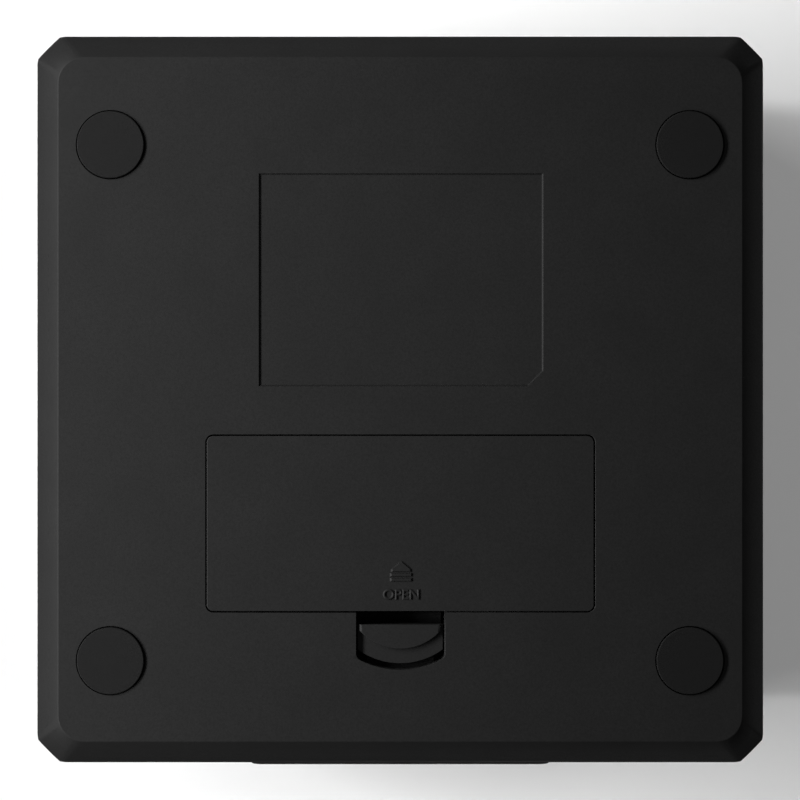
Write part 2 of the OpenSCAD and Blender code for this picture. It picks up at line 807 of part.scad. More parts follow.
// Screw boss in the housing, tied to the side wall by a rib
module case_boss(p) {
    side = p[0] > 0 ? 1 : -1;
    rod_z(p, case_boss_d / 2, boss_foot, boss_top);
    block([min(p[0], side * (x_in + 0.5)), p[1] - rib_t / 2, z_seam + lip_h + 0.6],
        [max(p[0], side * (x_in + 0.5)), p[1] + rib_t / 2, boss_top]);
}

// Grille holes on a triangular grid, two rings round the middle hole
grille_places = [for (i = [-2:2], j = [-2:2]) if (abs(i + j) <= 2)
    grille_pitch * [i + j / 2, j * sqrt(3) / 2]];

// Display and main board

module display_lens() {
    color("#101214") standing_slab(lens_w, lens_h, lens_r, z_display, y_front, y_front + lens_t);
}

module lcd_glass() {
    color("#9aa39a") standing_slab(lcd_w, lcd_h, 0.5, z_display, lcd_front, lcd_back);
}

module lcd_frame() {
    color("#e6e6e2") difference() {
        standing_slab(lcd_w + 2 * (fit_gap + frame_t), lcd_h + 2 * (fit_gap + frame_t), 1,
            z_display, y_front_in + 0.05, board_front - 0.05);
        standing_slab(lcd_w + 2 * fit_gap, lcd_h + 2 * fit_gap, 0.5 + fit_gap,
            z_display, y_front_in - 1, board_front + 1);
    }
}

module light_guide() {
    color("#f2f4f4") difference() {
        standing_slab(lcd_w - 1, guide_h, 0.5, z_display, guide_front, guide_front + guide_t);
        block([lcd_w / 2 - lamp_w - 1, guide_front - 1, z_display - lamp_w - lamp_gap],
            [lcd_w / 2, guide_front + guide_t + 1, z_display + lamp_w + lamp_gap]);
    }
}

module backlight_lamp() {
    color("#f8f4d8") block([lcd_w / 2 - lamp_w - 1 + lamp_gap, board_front - lamp_t, z_display - lamp_w],
        [lcd_w / 2 - 1 + lamp_gap, board_front, z_display + lamp_w]);
}

module zebra_strips() {
    color("#c9a2a0") for (s = [-1, 1])
        translate([0, 0, s * (lcd_h / 2 - zebra_h / 2 - 0.3)])
            block([-lcd_w / 2 + 2, lcd_back, z_display - zebra_h / 2],
                [lcd_w / 2 - 2, board_front, z_display + zebra_h / 2]);
}

module main_board() {
    color("#2f6b3c") difference() {
        standing_slab(board_w, board_h, 1.5, z_display, board_front, board_back);
        for (x = [-1, 1], z = [-1, 1])
            rod_y(x * board_boss_x, z_display + z * board_boss_z, small_screw_d / 2 + small_hole_gap,
                board_front - 1, board_back + 1);
    }
}

module controller_chip() {
    color("#17181a") rod_y(-chip_r + 1, z_display + chip_r + 5, chip_r, board_back, board_back + chip_h);
}

module crystal_can() {
    color("silver")
        rod_x(board_back + can_r, z_display + 2 * chip_r + 4, can_r, chip_r + 3, chip_r + 3 + can_l);
}

module board_screws() {
    color("silver") for (x = [-1, 1], z = [-1, 1])
        translate([x * board_boss_x, board_back, z_display + z * board_boss_z]) rotate([90, 0, 0])
            screw(small_screw_d, board_screw_l, small_head_d, small_head_h);
}

// Snooze bar

module snooze_bar() {
    color("#333335") {
        difference() {
            union() {
                slab(snooze_w, snooze_d, snooze_r, flange_foot, snooze_top);
                slab(snooze_w + 2 * snooze_flange, snooze_d + 2 * snooze_flange, snooze_r + snooze_flange,
                    flange_foot, flange_top);
            }
            slab(snooze_w - 2 * snooze_skin, snooze_d - 2 * snooze_skin, snooze_r - snooze_skin,
                flange_foot - 1, snooze_well);
        }
        for (x = [-1, 1]) {
            rod_z([x * snooze_post_x, 0], snooze_coil_r + 1, flange_foot, snooze_well + eps);
            rod_z([x * snooze_post_x, 0], snooze_post_r, snooze_board_foot - 1, snooze_well);
        }
        rod_z([0, 0], plunger_r + 0.8, snooze_plunger_top, snooze_well + eps);
    }
}

module snooze_plunger() {
    color("#b03a2e") rod_z([0, 0], plunger_r, snooze_bore_foot + snooze_travel + 0.2, snooze_plunger_top);
}

module snooze_switch() {
    color("#1d1e20") translate([0, 0, snooze_board_top]) switch_body(snooze_switch_h, 0.5);
}

module snooze_board() {
    color("#2f6b3c") difference() {
        slab(2 * (snooze_boss_x + 3.4), snooze_d - 2, 1.5, snooze_board_foot, snooze_board_top);
        for (x = [-1, 1]) {
            rod_z([x * snooze_post_x, 0], snooze_post_r + post_gap,
                snooze_board_foot - 1, snooze_board_top + 1);
            rod_z([x * snooze_boss_x, 0], small_screw_d / 2 + small_hole_gap,
                snooze_board_foot - 1, snooze_board_top + 1);
        }
    }
}

// Coil between the snooze board and the bar, on the post at x
module snooze_spring(x) {
    rise = flange_foot - snooze_board_top - snooze_wire_d - 0.1;
    color("silver") translate([x, 0, snooze_board_top + snooze_wire_d / 2 + 0.05])
        sweep(coil_path(snooze_coil_r, snooze_coil_r, rise, 5, 16),
            round_profile(snooze_wire_d / 2, 6), [0, 0, 1]);
}

module snooze_spring_left() { snooze_spring(-snooze_post_x); }
module snooze_spring_right() { snooze_spring(snooze_post_x); }

module snooze_board_screws() {
    color("silver") for (x = [-1, 1])
        translate([x * snooze_boss_x, 0, snooze_board_foot])
            screw(small_screw_d, snooze_screw_l, small_head_d, small_head_h);
}

// Rear controls

// Places a shape built along +Z so that it points out of the rear wall
module facing_rear(x, z) {
    translate([x, 0, z]) rotate([-90, 0, 0]) children();
}

module control_panel() {
    color("#2b2b2c") difference() {
        union() {
            standing_slab(panel_w, panel_h, panel_r, panel_z, y_rear, panel_face);
            standing_slab(plug_w, plug_h, panel_r, panel_z, plug_end, y_rear + eps);
            for (x = [-1, 1]) rod_y(x * post_x, knob_z, post_r, control_board_out, plug_end + eps);
        }
        for (x = button_x) rod_y(x, button_row_z, button_d / 2 + button_gap, plug_end - 1, panel_face + 1);
        block([-knob_w / 2 - knob_travel / 2 - 0.2, plug_end - 1, knob_z - knob_h / 2 - 0.2],
            [knob_w / 2 + knob_travel / 2 + 0.2, panel_face + 1, knob_z + knob_h / 2 + 0.2]);
        for (x = [-1, 1])
            rod_y(x * post_x, knob_z, small_screw_d / 2 + screw_gap, control_board_out - 1, plug_end);
    }
}

module button(i) {
    color("#3a3a3c") {
        rod_y(button_x[i], button_row_z, button_d / 2, button_flange_foot, button_face);
        rod_y(button_x[i], button_row_z, button_flange_r, button_flange_foot, button_flange_top);
    }
}

module button_plunger(i) {
    color("#b03a2e") rod_y(button_x[i], button_row_z, plunger_r, plunger_foot, button_flange_foot);
}

// Seen from the rear, the buttons run from +X on the left to -X on the right
module mode_button() { button(3); }
module set_button() { button(2); }
module up_button() { button(1); }
module down_button() { button(0); }
module mode_plunger() { button_plunger(3); }
module set_plunger() { button_plunger(2); }
module up_plunger() { button_plunger(1); }
module down_plunger() { button_plunger(0); }

module set_switches() {
    color("#1d1e20") for (x = button_x)
        facing_rear(x, button_row_z) translate([0, 0, control_board_out])
            switch_body(switch_h, plunger_foot - button_travel - 0.3 - control_board_out);
}

module alarm_knob() {
    color("#3a3a3c") translate([knob_rest_x, 0, knob_z]) {
        block([-knob_w / 2, slider_foot, -knob_h / 2], [knob_w / 2, panel_face - 0.1, knob_h / 2]);
        block([-knob_w / 2 - 2, slider_foot, -knob_h / 2 - 0.8],
            [knob_w / 2 + 2, slider_top, knob_h / 2 + 0.8]);
        block([-1, slider_foot - 1.2, -0.8], [1, slider_foot + eps, 0.8]);
    }
}

module alarm_switch() {
    color("#9b9da0") difference() {
        block([-5, control_board_out, knob_z - 2], [5, control_board_out + slide_body_h, knob_z + 2]);
        block([-1 - knob_travel / 2 - 0.2, slider_foot - 1.4, knob_z - 1],
            [1 + knob_travel / 2 + 0.2, slider_foot + 1, knob_z + 1]);
    }
}

module control_board() {
    color("#2f6b3c") difference() {
        standing_slab(plug_w - 0.4, plug_h - 0.4, 1, panel_z, control_board_in, control_board_out);
        for (x = [-1, 1])
            rod_y(x * post_x, knob_z, small_screw_d / 2 + small_hole_gap,
                control_board_in - 1, control_board_out + 1);
    }
}

module control_board_screws() {
    color("silver") for (x = [-1, 1])
        facing_rear(x * post_x, knob_z) translate([0, 0, control_board_in])
            screw(small_screw_d, control_screw_l, small_head_d, small_head_h);
}

module buzzer_disc() {
    color("#c9a24a") rod_y(0, z_buzzer, buzzer_r, buzzer_seat - buzzer_t, buzzer_seat);
}

module buzzer_ceramic() {
    color("#e9e6dc")
        rod_y(0, z_buzzer, ceramic_r, buzzer_seat - buzzer_t - ceramic_t, buzzer_seat - buzzer_t);
}

// Leads and ribbons

module lead(route, tone) {
    color(tone) sweep(smooth_route(route, 6), round_profile(lead_r, 8), [1, 1, 2]);
}

module ribbon(route) {
    color("#b8bcc2") sweep(smooth_route(route, 6), flat_profile(ribbon_t, ribbon_w), [1, 0, 0]);
}

module battery_lead_red() { lead(red_route, "#b3282d"); }
module battery_lead_black() { lead(black_route, "#1a1a1c"); }
module buzzer_lead_red() { lead(buzzer_red_route, "#b3282d"); }
module buzzer_lead_black() { lead(buzzer_black_route, "#1a1a1c"); }
module control_ribbon() { ribbon(control_ribbon_route); }
module snooze_ribbon() { ribbon(snooze_ribbon_route); }

base_cover();
housing();
case_screws();
foot_front_left();
foot_front_right();
foot_rear_left();
foot_rear_right();
battery_door();
door_latch();
front_cell();
rear_cell();
bridge_contact();
positive_contact();
negative_contact();
display_lens();
lcd_glass();
lcd_frame();
light_guide();
backlight_lamp();
zebra_strips();
main_board();
controller_chip();
crystal_can();
board_screws();
snooze_bar();
snooze_plunger();
snooze_switch();
snooze_board();
snooze_spring_left();
snooze_spring_right();
snooze_board_screws();
control_panel();
mode_button();
set_button();
up_button();
down_button();
mode_plunger();
set_plunger();
up_plunger();
down_plunger();
set_switches();
alarm_knob();
alarm_switch();
control_board();
control_board_screws();
buzzer_disc();
buzzer_ceramic();
buzzer_lead_red();
buzzer_lead_black();
battery_lead_red();
battery_lead_black();
control_ribbon();
snooze_ribbon();
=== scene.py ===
import math

import bmesh
import bpy
from mathutils import Matrix, Vector


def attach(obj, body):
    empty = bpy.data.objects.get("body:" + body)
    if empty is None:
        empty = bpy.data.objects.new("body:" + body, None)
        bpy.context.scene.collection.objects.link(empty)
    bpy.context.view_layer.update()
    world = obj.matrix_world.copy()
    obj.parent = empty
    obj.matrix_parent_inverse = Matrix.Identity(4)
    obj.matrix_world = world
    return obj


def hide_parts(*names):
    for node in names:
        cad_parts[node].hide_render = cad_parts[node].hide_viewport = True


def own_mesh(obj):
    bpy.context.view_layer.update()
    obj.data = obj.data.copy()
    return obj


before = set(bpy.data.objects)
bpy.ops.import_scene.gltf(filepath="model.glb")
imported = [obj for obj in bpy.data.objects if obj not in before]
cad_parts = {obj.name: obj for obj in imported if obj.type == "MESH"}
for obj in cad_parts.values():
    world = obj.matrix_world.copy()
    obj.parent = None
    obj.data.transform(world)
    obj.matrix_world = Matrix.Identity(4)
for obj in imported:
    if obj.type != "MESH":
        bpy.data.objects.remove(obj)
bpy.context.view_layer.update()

# Sizes are in millimetres: X to the right, Y to the rear, Z up from the table
MM = 0.001
SAME = 0.01  # Points closer than this are one place

# Levels of the case
FACE = 0.4
PAD = 0.5
STEP = 1.1
WIDEST = 3.2
GROOVE = 7.8
SEAM = 8.4
TOP = 98.4
BAR_TOP = 100.0

# Faces from the front to the rear
FRONT = -50.0
REAR = 50.0
KNOB_FACE = 51.1
PANEL_FACE = 51.2
KEY_FACE = 51.5

# Label field in the base
LABEL_RIGHT = 19.4
LABEL_FRONT = -31.0
LABEL_REAR = -1.8
LABEL_CUT = 2.0
LABEL_FLOOR = FACE + 0.25


# Camera: straight under the clock, as the photograph was taken, with the front edge at the top

CAMERA_REACH = 475.0
CAMERA_FRAME = 110.26
SENSOR = 36
eye = bpy.data.cameras.new("photo_camera")
eye.sensor_width = SENSOR
eye.lens = SENSOR * CAMERA_REACH / CAMERA_FRAME
eye.clip_start = 0.01
eye.clip_end = 20
camera = bpy.data.objects.new("photo_camera", eye)
camera.location = Vector((-0.034, 0.076, WIDEST - CAMERA_REACH)) * MM
camera.rotation_euler = (math.pi, 0, 0)
bpy.context.scene.collection.objects.link(camera)
bpy.context.scene.camera = camera
bpy.context.scene.view_settings.view_transform = "Standard"


# Materials

def linear(code):
    """Linear colour of an sRGB hex value."""
    parts = [int(code[i:i + 2], 16) / 255 for i in (1, 3, 5)]
    return tuple(c / 12.92 if c <= 0.04045 else ((c + 0.055) / 1.055) ** 2.4
                 for c in parts) + (1.0,)


def add(tree, kind, inputs=None, **settings):
    """Adds one node; an input takes a plain value or the socket that feeds it."""
    made = tree.nodes.new(kind)
    for key, value in settings.items():
        setattr(made, key, value)
    for key, value in (inputs or {}).items():
        if isinstance(value, bpy.types.NodeSocket):
            tree.links.new(value, made.inputs[key])
        else:
            made.inputs[key].default_value = value
    return made


def blank(name, **values):
    """New material with one shader; values are the shader's plain sockets."""
    made = bpy.data.materials.new(name)
    made.use_nodes = True
    tree = made.node_tree
    tree.nodes.clear()
    names = {key.replace("_", " ").title().replace("Ior", "IOR"): value
             for key, value in values.items()}
    shader = add(tree, "ShaderNodeBsdfPrincipled", names)
    add(tree, "ShaderNodeOutputMaterial", {"Surface": shader.outputs[0]})
    where = add(tree, "ShaderNodeTexCoord").outputs["Object"]
    return made, tree, shader, where


def finish(name, deep, pale, rough, grain, relief, patch=9.0, **values):
    """Surface with two close tones in patches, and a grain that sets its roughness and relief.

    Grain, relief and patch are in millimetres; rough is the least and the most roughness.
    """
    made, tree, shader, where = blank(name, **values)
    cloud = add(tree, "ShaderNodeTexNoise", {
        "Vector": where, "Scale": 1 / (patch * MM), "Detail": 5.0})
    speck = add(tree, "ShaderNodeTexNoise", {
        "Vector": where, "Scale": 1 / (grain * MM), "Detail": 2.0})
    share = add(tree, "ShaderNodeMath", {
        0: cloud.outputs[0], 1: speck.outputs[0], 2: 0.1}, operation="MULTIPLY_ADD")
    tone = add(tree, "ShaderNodeMixRGB", {
        "Fac": share.outputs[0], "Color1": linear(deep), "Color2": linear(pale)})
    shine = add(tree, "ShaderNodeMapRange", {
        "Value": speck.outputs[0], "From Min": 0.3, "From Max": 0.7,
        "To Min": rough[0], "To Max": rough[1]})
    bump = add(tree, "ShaderNodeBump", {
        "Strength": 0.5, "Distance": relief * MM, "Height": speck.outputs[0]})
    tree.links.new(tone.outputs[0], shader.inputs["Base Color"])
    tree.links.new(shine.outputs[0], shader.inputs["Roughness"])
    tree.links.new(bump.outputs[0], shader.inputs["Normal"])
    return made


# Black ABS moulded in a fine spark-eroded tool: even, dull, with a faint sparkle of grain
case_plastic = finish("ABS_black_spark_eroded", "#252525", "#343434",
                      (0.52, 0.66), 0.28, 0.012, specular_ior_level=0.25)
# The same ABS with a coarser texture on the bar that is pressed
bar_plastic = finish("ABS_black_coarse_textured", "#242425", "#2c2c2d", (0.52, 0.68), 0.4, 0.03)
# Black rubber, moulded: duller and a little darker than the case
foot_rubber = finish("Rubber_black_moulded", "#1d1d1d", "#232323",
                     (0.72, 0.86), 0.3, 0.01, specular_ior_level=0.25)
key_rubber = finish("Silicone_rubber_charcoal_moulded", "#2d2d2f", "#37373a",
                    (0.55, 0.7), 0.25, 0.01)
knob_plastic = finish("ABS_charcoal_moulded", "#2c2c2e", "#363638", (0.42, 0.55), 0.25, 0.01)
# Ink that is pad-printed on the plastic
print_ink = finish("Pad_print_pale_grey", "#9a9b9c", "#adaeaf", (0.5, 0.65), 0.15, 0.004)
# Black ink screen-printed behind the lens
mask_ink = finish("Screen_print_black", "#070708", "#0b0b0c", (0.35, 0.5), 0.2, 0.003)
# Liquid crystal: grey-green reflective ground, dark when a segment is on
crystal_ground = finish("Liquid_crystal_reflective_ground", "#8f9a88", "#9ba594",
                        (0.28, 0.36), 0.12, 0.002, patch=30)
crystal_dark = finish("Liquid_crystal_dark_segment", "#161a18", "#1d2220",
                      (0.3, 0.4), 0.12, 0.002, patch=30)
crystal_ghost = finish("Liquid_crystal_faint_segment", "#86917f", "#909b89",
                       (0.28, 0.38), 0.12, 0.002, patch=30)
white_plastic = finish("Polystyrene_white_moulded", "#dcdcd8", "#e8e8e4", (0.35, 0.5), 0.3, 0.008)
guide_acrylic = finish("Acrylic_light_guide_frosted", "#e9efef", "#f4f7f7",
                       (0.3, 0.45), 0.2, 0.006)
lamp_resin = finish("Epoxy_lamp_cast", "#efe6b4", "#f7f1cd", (0.25, 0.35), 0.2, 0.004)
strip_rubber = finish("Conductive_rubber_layered", "#b48c8a", "#cba5a2", (0.6, 0.75), 0.2, 0.01)
board_laminate = finish("Glass_fibre_board_solder_masked", "#1d5a30", "#2a7040",
                        (0.3, 0.42), 0.5, 0.008)
chip_epoxy = finish("Epoxy_drop_black", "#101113", "#191a1c", (0.25, 0.4), 0.4, 0.01)
switch_plastic = finish("Nylon_black_moulded", "#18191a", "#222324", (0.4, 0.55), 0.25, 0.008)
plunger_plastic = finish("Acetal_red_moulded", "#a83126", "#bb4136", (0.35, 0.5), 0.25, 0.006)
# Metals keep the default index; the grain stands for plating and drawing marks
screw_steel = finish("Steel_zinc_plated", "#a9abac", "#c3c5c6",
                     (0.25, 0.4), 0.3, 0.004, metallic=1.0)
spring_steel = finish("Steel_nickel_plated", "#b8b4aa", "#cfccc3",
                      (0.18, 0.32), 0.25, 0.003, metallic=1.0)
can_steel = finish("Steel_tinned_pressed", "#a4a5a4", "#bcbdbb",
                   (0.22, 0.36), 0.3, 0.003, metallic=1.0)
brass = finish("Brass_rolled_sheet", "#b8923f", "#cfaa58", (0.25, 0.4), 0.3, 0.004, metallic=1.0)
ceramic = finish("Piezo_ceramic_silvered", "#cfcbbe", "#e0dcd0", (0.4, 0.55), 0.2, 0.004)
red_sleeve = finish("PVC_red_extruded", "#a1242a", "#b6333a", (0.38, 0.5), 0.4, 0.006)
black_sleeve = finish("PVC_black_extruded", "#161617", "#1f1f21", (0.38, 0.5), 0.4, 0.006)
ribbon_pvc = finish("PVC_grey_ribbon_extruded", "#a7abb1", "#b9bdc3", (0.4, 0.52), 0.4, 0.006)
cell_wrap = finish("PVC_shrink_sleeve_slate", "#3a4a57", "#465866", (0.22, 0.32), 0.5, 0.004)
cell_band = finish("PVC_shrink_sleeve_sand", "#b5a684", "#c2b493", (0.22, 0.32), 0.5, 0.004)


def clear_acrylic():
    """Clear cast acrylic, polished: it mirrors the room, and lamps reach the display through it."""
    made, tree, shader, where = blank(
        "Acrylic_clear_polished", base_color=linear("#fafbfb"), transmission_weight=1.0, ior=1.49)
    haze = add(tree, "ShaderNodeTexNoise", {"Vector": where, "Scale": 1 / (14 * MM), "Detail": 3.0})
    wipe = add(tree, "ShaderNodeMapRange", {
        "Value": haze.outputs[0], "To Min": 0.0, "To Max": 0.06})
    tree.links.new(wipe.outputs[0], shader.inputs["Roughness"])
    ray = add(tree, "ShaderNodeLightPath")
    pass_light = add(tree, "ShaderNodeBsdfTransparent", {"Color": linear("#f2f4f4")})
    pane = add(tree, "ShaderNodeMixShader", {
        0: ray.outputs["Is Shadow Ray"], 1: shader.outputs[0], 2: pass_light.outputs[0]})
    tree.links.new(pane.outputs[0], tree.nodes["Material Output"].inputs["Surface"])
    return made


lens_acrylic = clear_acrylic()


# Meshes

def piece(name, mesh, body, slot, *finishes, stands_for=()):
    """Object that rides on a body, with its finishes and the solids it stands for.

    The slot is not used, and ink has none.
    """
    made = bpy.data.objects.new(name, mesh)
    bpy.context.scene.collection.objects.link(made)
    for surface in finishes:
        mesh.materials.append(surface)
    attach(made, body)
    if stands_for:
        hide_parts(*stands_for)
    return made


def close(work, name, crease=32):
    """Mesh from work in millimetres, smooth up to the crease angle."""
    bmesh.ops.recalc_face_normals(work, faces=work.faces)
    for v in work.verts:
        v.co *= MM
    mesh = bpy.data.meshes.new(name)
    work.to_mesh(mesh)
    work.free()
    mesh.shade_smooth()
    mesh.set_sharp_from_angle(angle=math.radians(crease))
    return mesh


def even_normals(made):
    """Keeps the large flat faces flat next to their rounded edges."""
    weights = made.modifiers.new("even_normals", "WEIGHTED_NORMAL")
    weights.keep_sharp = True
    weights.weight = 60


WELD = 0.002
FLAT_ANGLE = math.radians(0.5)
EDGE_ANGLE = math.radians(20)
FLAT_BEVEL_DEPTH = 0.6


def moulded(name, node, body, slot, surface, rims):
    """Copy of a CAD solid with its moulded edges rounded.

    Rims are (pick, radius, steps), in the order in which they are cut; one step is a flat bevel.
    """
    work = bmesh.new()
    work.from_mesh(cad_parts[node].data)
    for v in work.verts:
        v.co /= MM
    bmesh.ops.remove_doubles(work, verts=work.verts, dist=WELD)
    bmesh.ops.dissolve_limit(work, angle_limit=FLAT_ANGLE, verts=work.verts, edges=work.edges)
    for pick, radius, steps in rims:
        edges = [e for e in work.edges
                 if len(e.link_faces) == 2 and e.calc_face_angle(0) > EDGE_ANGLE
                 and pick(e.verts[0].co, e.verts[1].co)]
        rim = min(v.co.z for e in edges for v in e.verts)
        cut = bmesh.ops.bevel(
            work, geom=edges, offset=radius, offset_type="OFFSET", segments=steps,
            profile=0.5, affect="EDGES", clamp_overlap=False, loop_slide=True)
        if steps == 1:
            for v in cut["verts"]:
                v.co.z = rim + FLAT_BEVEL_DEPTH * (v.co.z - rim)
    made = piece(name, close(work, name), body, slot, surface, stands_for=[node])
    even_normals(made)
    return made


# Picks of edges by the places of their two ends

BORDER = 46.0  # Edges farther from the middle belong to the border of the case
NOTCH_SIDE = 6.05
NOTCH_CORNERS_Y = (34.0, 36.0)
NOTCH_RIGHT_X = (5.7, 6.5)
NOTCH_RIGHT_Y = (29.3, 36.0)
BAY_RIGHT_X = (25.8, 27.0)
BAY_RIGHT_Y = (4.0, 30.0)
DOOR_LEFT_X = -25.5
PANEL_SIDE_X = 18.0


def level(axis, value):
    """Picks an edge whose two ends lie at one level."""
    return lambda a, b: abs(a[axis] - value) < 0.02 and abs(b[axis] - value) < 0.02


on_face = level(2, FACE)


def edge_run(a, b):
    """How far an edge reaches from the middle of the case."""
    return max(abs(a.x), abs(a.y), abs(b.x), abs(b.y))


def outer(value):
    """Picks an edge at one height in the border of the case."""
    return lambda a, b: level(2, value)(a, b) and edge_run(a, b) > BORDER


def inner(value):
    """Picks an edge at one height inside the border."""
    return lambda a, b: level(2, value)(a, b) and edge_run(a, b) < BORDER


def within(value, span):
    return span[0] < value < span[1]


def notch_corner(a, b):
    """Upright edge at a rear corner of the finger notch."""
    upright = abs(a.x - b.x) < SAME and abs(a.y - b.y) < SAME
    return upright and abs(abs(a.x) - NOTCH_SIDE) < 0.05 and within(a.y, NOTCH_CORNERS_Y)


def notch_right(a, b):
    """Right rim of the finger notch, which the low lamp catches."""
    return (on_face(a, b) and within(min(a.x, b.x), NOTCH_RIGHT_X)
            and within((a.y + b.y) / 2, NOTCH_RIGHT_Y))


def bay_right(a, b):
    """Right rim of the door opening, which the low lamp catches too."""
    return (on_face(a, b) and within(min(a.x, b.x), BAY_RIGHT_X)
            and within((a.y + b.y) / 2, BAY_RIGHT_Y))


def label_rim(a, b):
    """Rim of the label field, which stays sharp."""
    return (max(abs(a.x), abs(b.x)) < LABEL_RIGHT + 0.1
            and min(a.y, b.y) > LABEL_FRONT - 0.1 and max(a.y, b.y) < LABEL_REAR + 0.1)


def base_rim(a, b):
    """Any other rim in the base."""
    return inner(FACE)(a, b) and not (label_rim(a, b) or bay_right(a, b) or notch_right(a, b))


def door_left(a, b):
    """Left rim of the door, which the low lamp catches."""
    return on_face(a, b) and max(a.x, b.x) < DOOR_LEFT_X


def door_rim(a, b):
    return on_face(a, b) and not door_left(a, b)


def pad_side(a, b):
    """Left or right rim of the finger pad."""
    return level(2, PAD)(a, b) and abs(a.x - b.x) < SAME


def panel_rim(a, b):
    """Outer rim of the rear panel."""
    return level(1, PANEL_FACE)(a, b) and max(abs(a.x), abs(b.x)) > PANEL_SIDE_X


# Case, door and latch

base_shell = moulded("base_shell", "base_cover", "case", "case_plastic", case_plastic, [
    (notch_corner, 0.6, 4),
    (outer(FACE), 0.12, 2),
    (bay_right, 0.09, 1),
    (notch_right, 0.14, 1),
    (base_rim, 0.05, 2),
    (level(2, GROOVE), 0.12, 2),
])
# The walls of the label field slope, and the low lamp catches the right one: corners and shifts
for corner, shift in (
    ((LABEL_RIGHT, LABEL_FRONT, FACE), (0.2, 0)),
    ((LABEL_RIGHT, LABEL_REAR - LABEL_CUT, FACE), (0.2, -0.1)),
    ((LABEL_RIGHT - LABEL_CUT, LABEL_REAR, FACE), (0.1, 0)),
    ((LABEL_RIGHT, LABEL_FRONT, LABEL_FLOOR), (-0.1, 0.2)),
    ((LABEL_RIGHT, LABEL_REAR - LABEL_CUT, LABEL_FLOOR), (-0.1, -0.041)),
    ((LABEL_RIGHT - LABEL_CUT, LABEL_REAR, LABEL_FLOOR), (0.059, -0.2)),
    ((-LABEL_RIGHT, LABEL_FRONT, LABEL_FLOOR), (0, 0.2)),
    ((-LABEL_RIGHT, LABEL_REAR, LABEL_FLOOR), (0, -0.2)),
):
    for v in base_shell.data.vertices:
        if (v.co / MM - Vector(corner)).length < SAME:
            v.co += Vector((*shift, 0)) * MM
moulded("housing_shell", "housing", "case", "case_plastic", case_plastic, [
    (outer(TOP), 0.25, 3),
    (inner(TOP), 0.2, 3),
    (level(2, SEAM), 0.12, 2),
    (level(1, FRONT), 0.15, 2),
    (level(1, REAR), 0.12, 2),
])
moulded("door_panel", "battery_door", "door", "case_plastic", case_plastic, [
    (door_left, 0.08, 1),
    (door_rim, 0.05, 2),
])
moulded("latch_tongue", "door_latch", "latch", "case_plastic", case_plastic, [
    (pad_side, 0.32, 1),
    (level(2, PAD), 0.12, 2),
    (level(2, STEP), 0.06, 2),
])
for place in ("front_left", "front_right", "rear_left", "rear_right"):
    moulded("foot_pad_" + place, "foot_" + place, "case", "foot_rubber", foot_rubber, [
        (level(2, 0), 0.15, 3)])

# Top bar, rear panel with its keys and knob, and the lens

moulded("snooze_cap", "snooze_bar", "snooze", "snooze_plastic", bar_plastic, [
    (level(2, BAR_TOP), 0.9, 5)])
moulded("panel_plate", "control_panel", "case", "case_plastic", case_plastic, [
    (panel_rim, 0.4, 4),
    (level(1, PANEL_FACE), 0.12, 2),
])
for key in ("mode", "set", "up", "down"):
    moulded("key_" + key, key + "_button", key + "_key", "key_rubber", key_rubber, [
        (level(1, KEY_FACE), 0.45, 4)])
moulded("knob_cap", "alarm_knob", "alarm_slider", "knob_plastic", knob_plastic, [
    (level(1, KNOB_FACE), 0.25, 3)])
lens_pane = moulded("lens_pane", "display_lens", "case", "lens_acrylic", lens_acrylic, [
    (level(1, FRONT), 0.2, 2)])


# Marks: u runs across a face, v up it and w out of it, for someone who reads the face

UNDER = Matrix(((1, 0, 0), (0, -1, 0), (0, 0, -1))).to_4x4()
AHEAD = Matrix(((1, 0, 0), (0, 0, -1), (0, 1, 0))).to_4x4()
BEHIND = Matrix(((-1, 0, 0), (0, 0, 1), (0, 1, 0))).to_4x4()
ABOVE = Matrix.Identity(4)


def raised(work, outline, low, high, rim=0.0, top=None):
    """Flat shape that stands on a face.

    Its upper rim is bevelled, or its sides slope to the top's own outline.
    """
    foot = [work.verts.new((u, v, low)) for u, v in outline]
    head = [work.verts.new((u, v, high)) for u, v in top or outline]
    count = len(outline)
    for i in range(count):
        k = (i + 1) % count
        work.faces.new((foot[i], foot[k], head[k], head[i]))
    work.faces.new(foot[::-1])
    lid = work.faces.new(head)
    if rim:
        bmesh.ops.bevel(work, geom=list(lid.edges), offset=rim, offset_type="OFFSET", segments=1,
                        affect="EDGES", clamp_overlap=True)


def ring(work, outside, inside, low, high):
    """Flat frame between two outlines with the same number of points."""
    loops = [[work.verts.new((u, v, w)) for u, v in outline]
             for outline, w in ((outside, low), (outside, high), (inside, high), (inside, low))]
    count = len(outside)
    for a, b in zip(loops, loops[1:] + loops[:1]):
        for i in range(count):
            k = (i + 1) % count
            work.faces.new((a[i], a[k], b[k], b[i]))


def oblong(left, foot, right, head):
    """Outline of a plain rectangle."""
    return [(left, foot), (right, foot), (right, head), (left, head)]


def rounded(width, height, radius, middle=(0.0, 0.0), steps=6):
    """Outline of a rectangle with round corners."""
    points = []
    for quarter, (right, up) in enumerate(((1, 1), (-1, 1), (-1, -1), (1, -1))):
        for i in range(steps + 1):
            turn = math.radians(90 * (quarter + i / steps))
            points.append((middle[0] + right * (width / 2 - radius) + radius * math.cos(turn),
                           middle[1] + up * (height / 2 - radius) + radius * math.sin(turn)))
    return points


def disc(radius, middle=(0.0, 0.0), steps=28):
    """Outline of a circle."""
    turns = [math.tau * i / steps for i in range(steps)]
    return [(middle[0] + radius * math.cos(t), middle[1] + radius * math.sin(t)) for t in turns]


def arc(radius, height, start, stop, step):
    """Points on an arc whose middle lies at a height on the axis; angles are in degrees."""
    turns = [math.radians(t) for t in range(start, stop, step)]
    return [(radius * math.cos(t), height + radius * math.sin(t)) for t in turns]


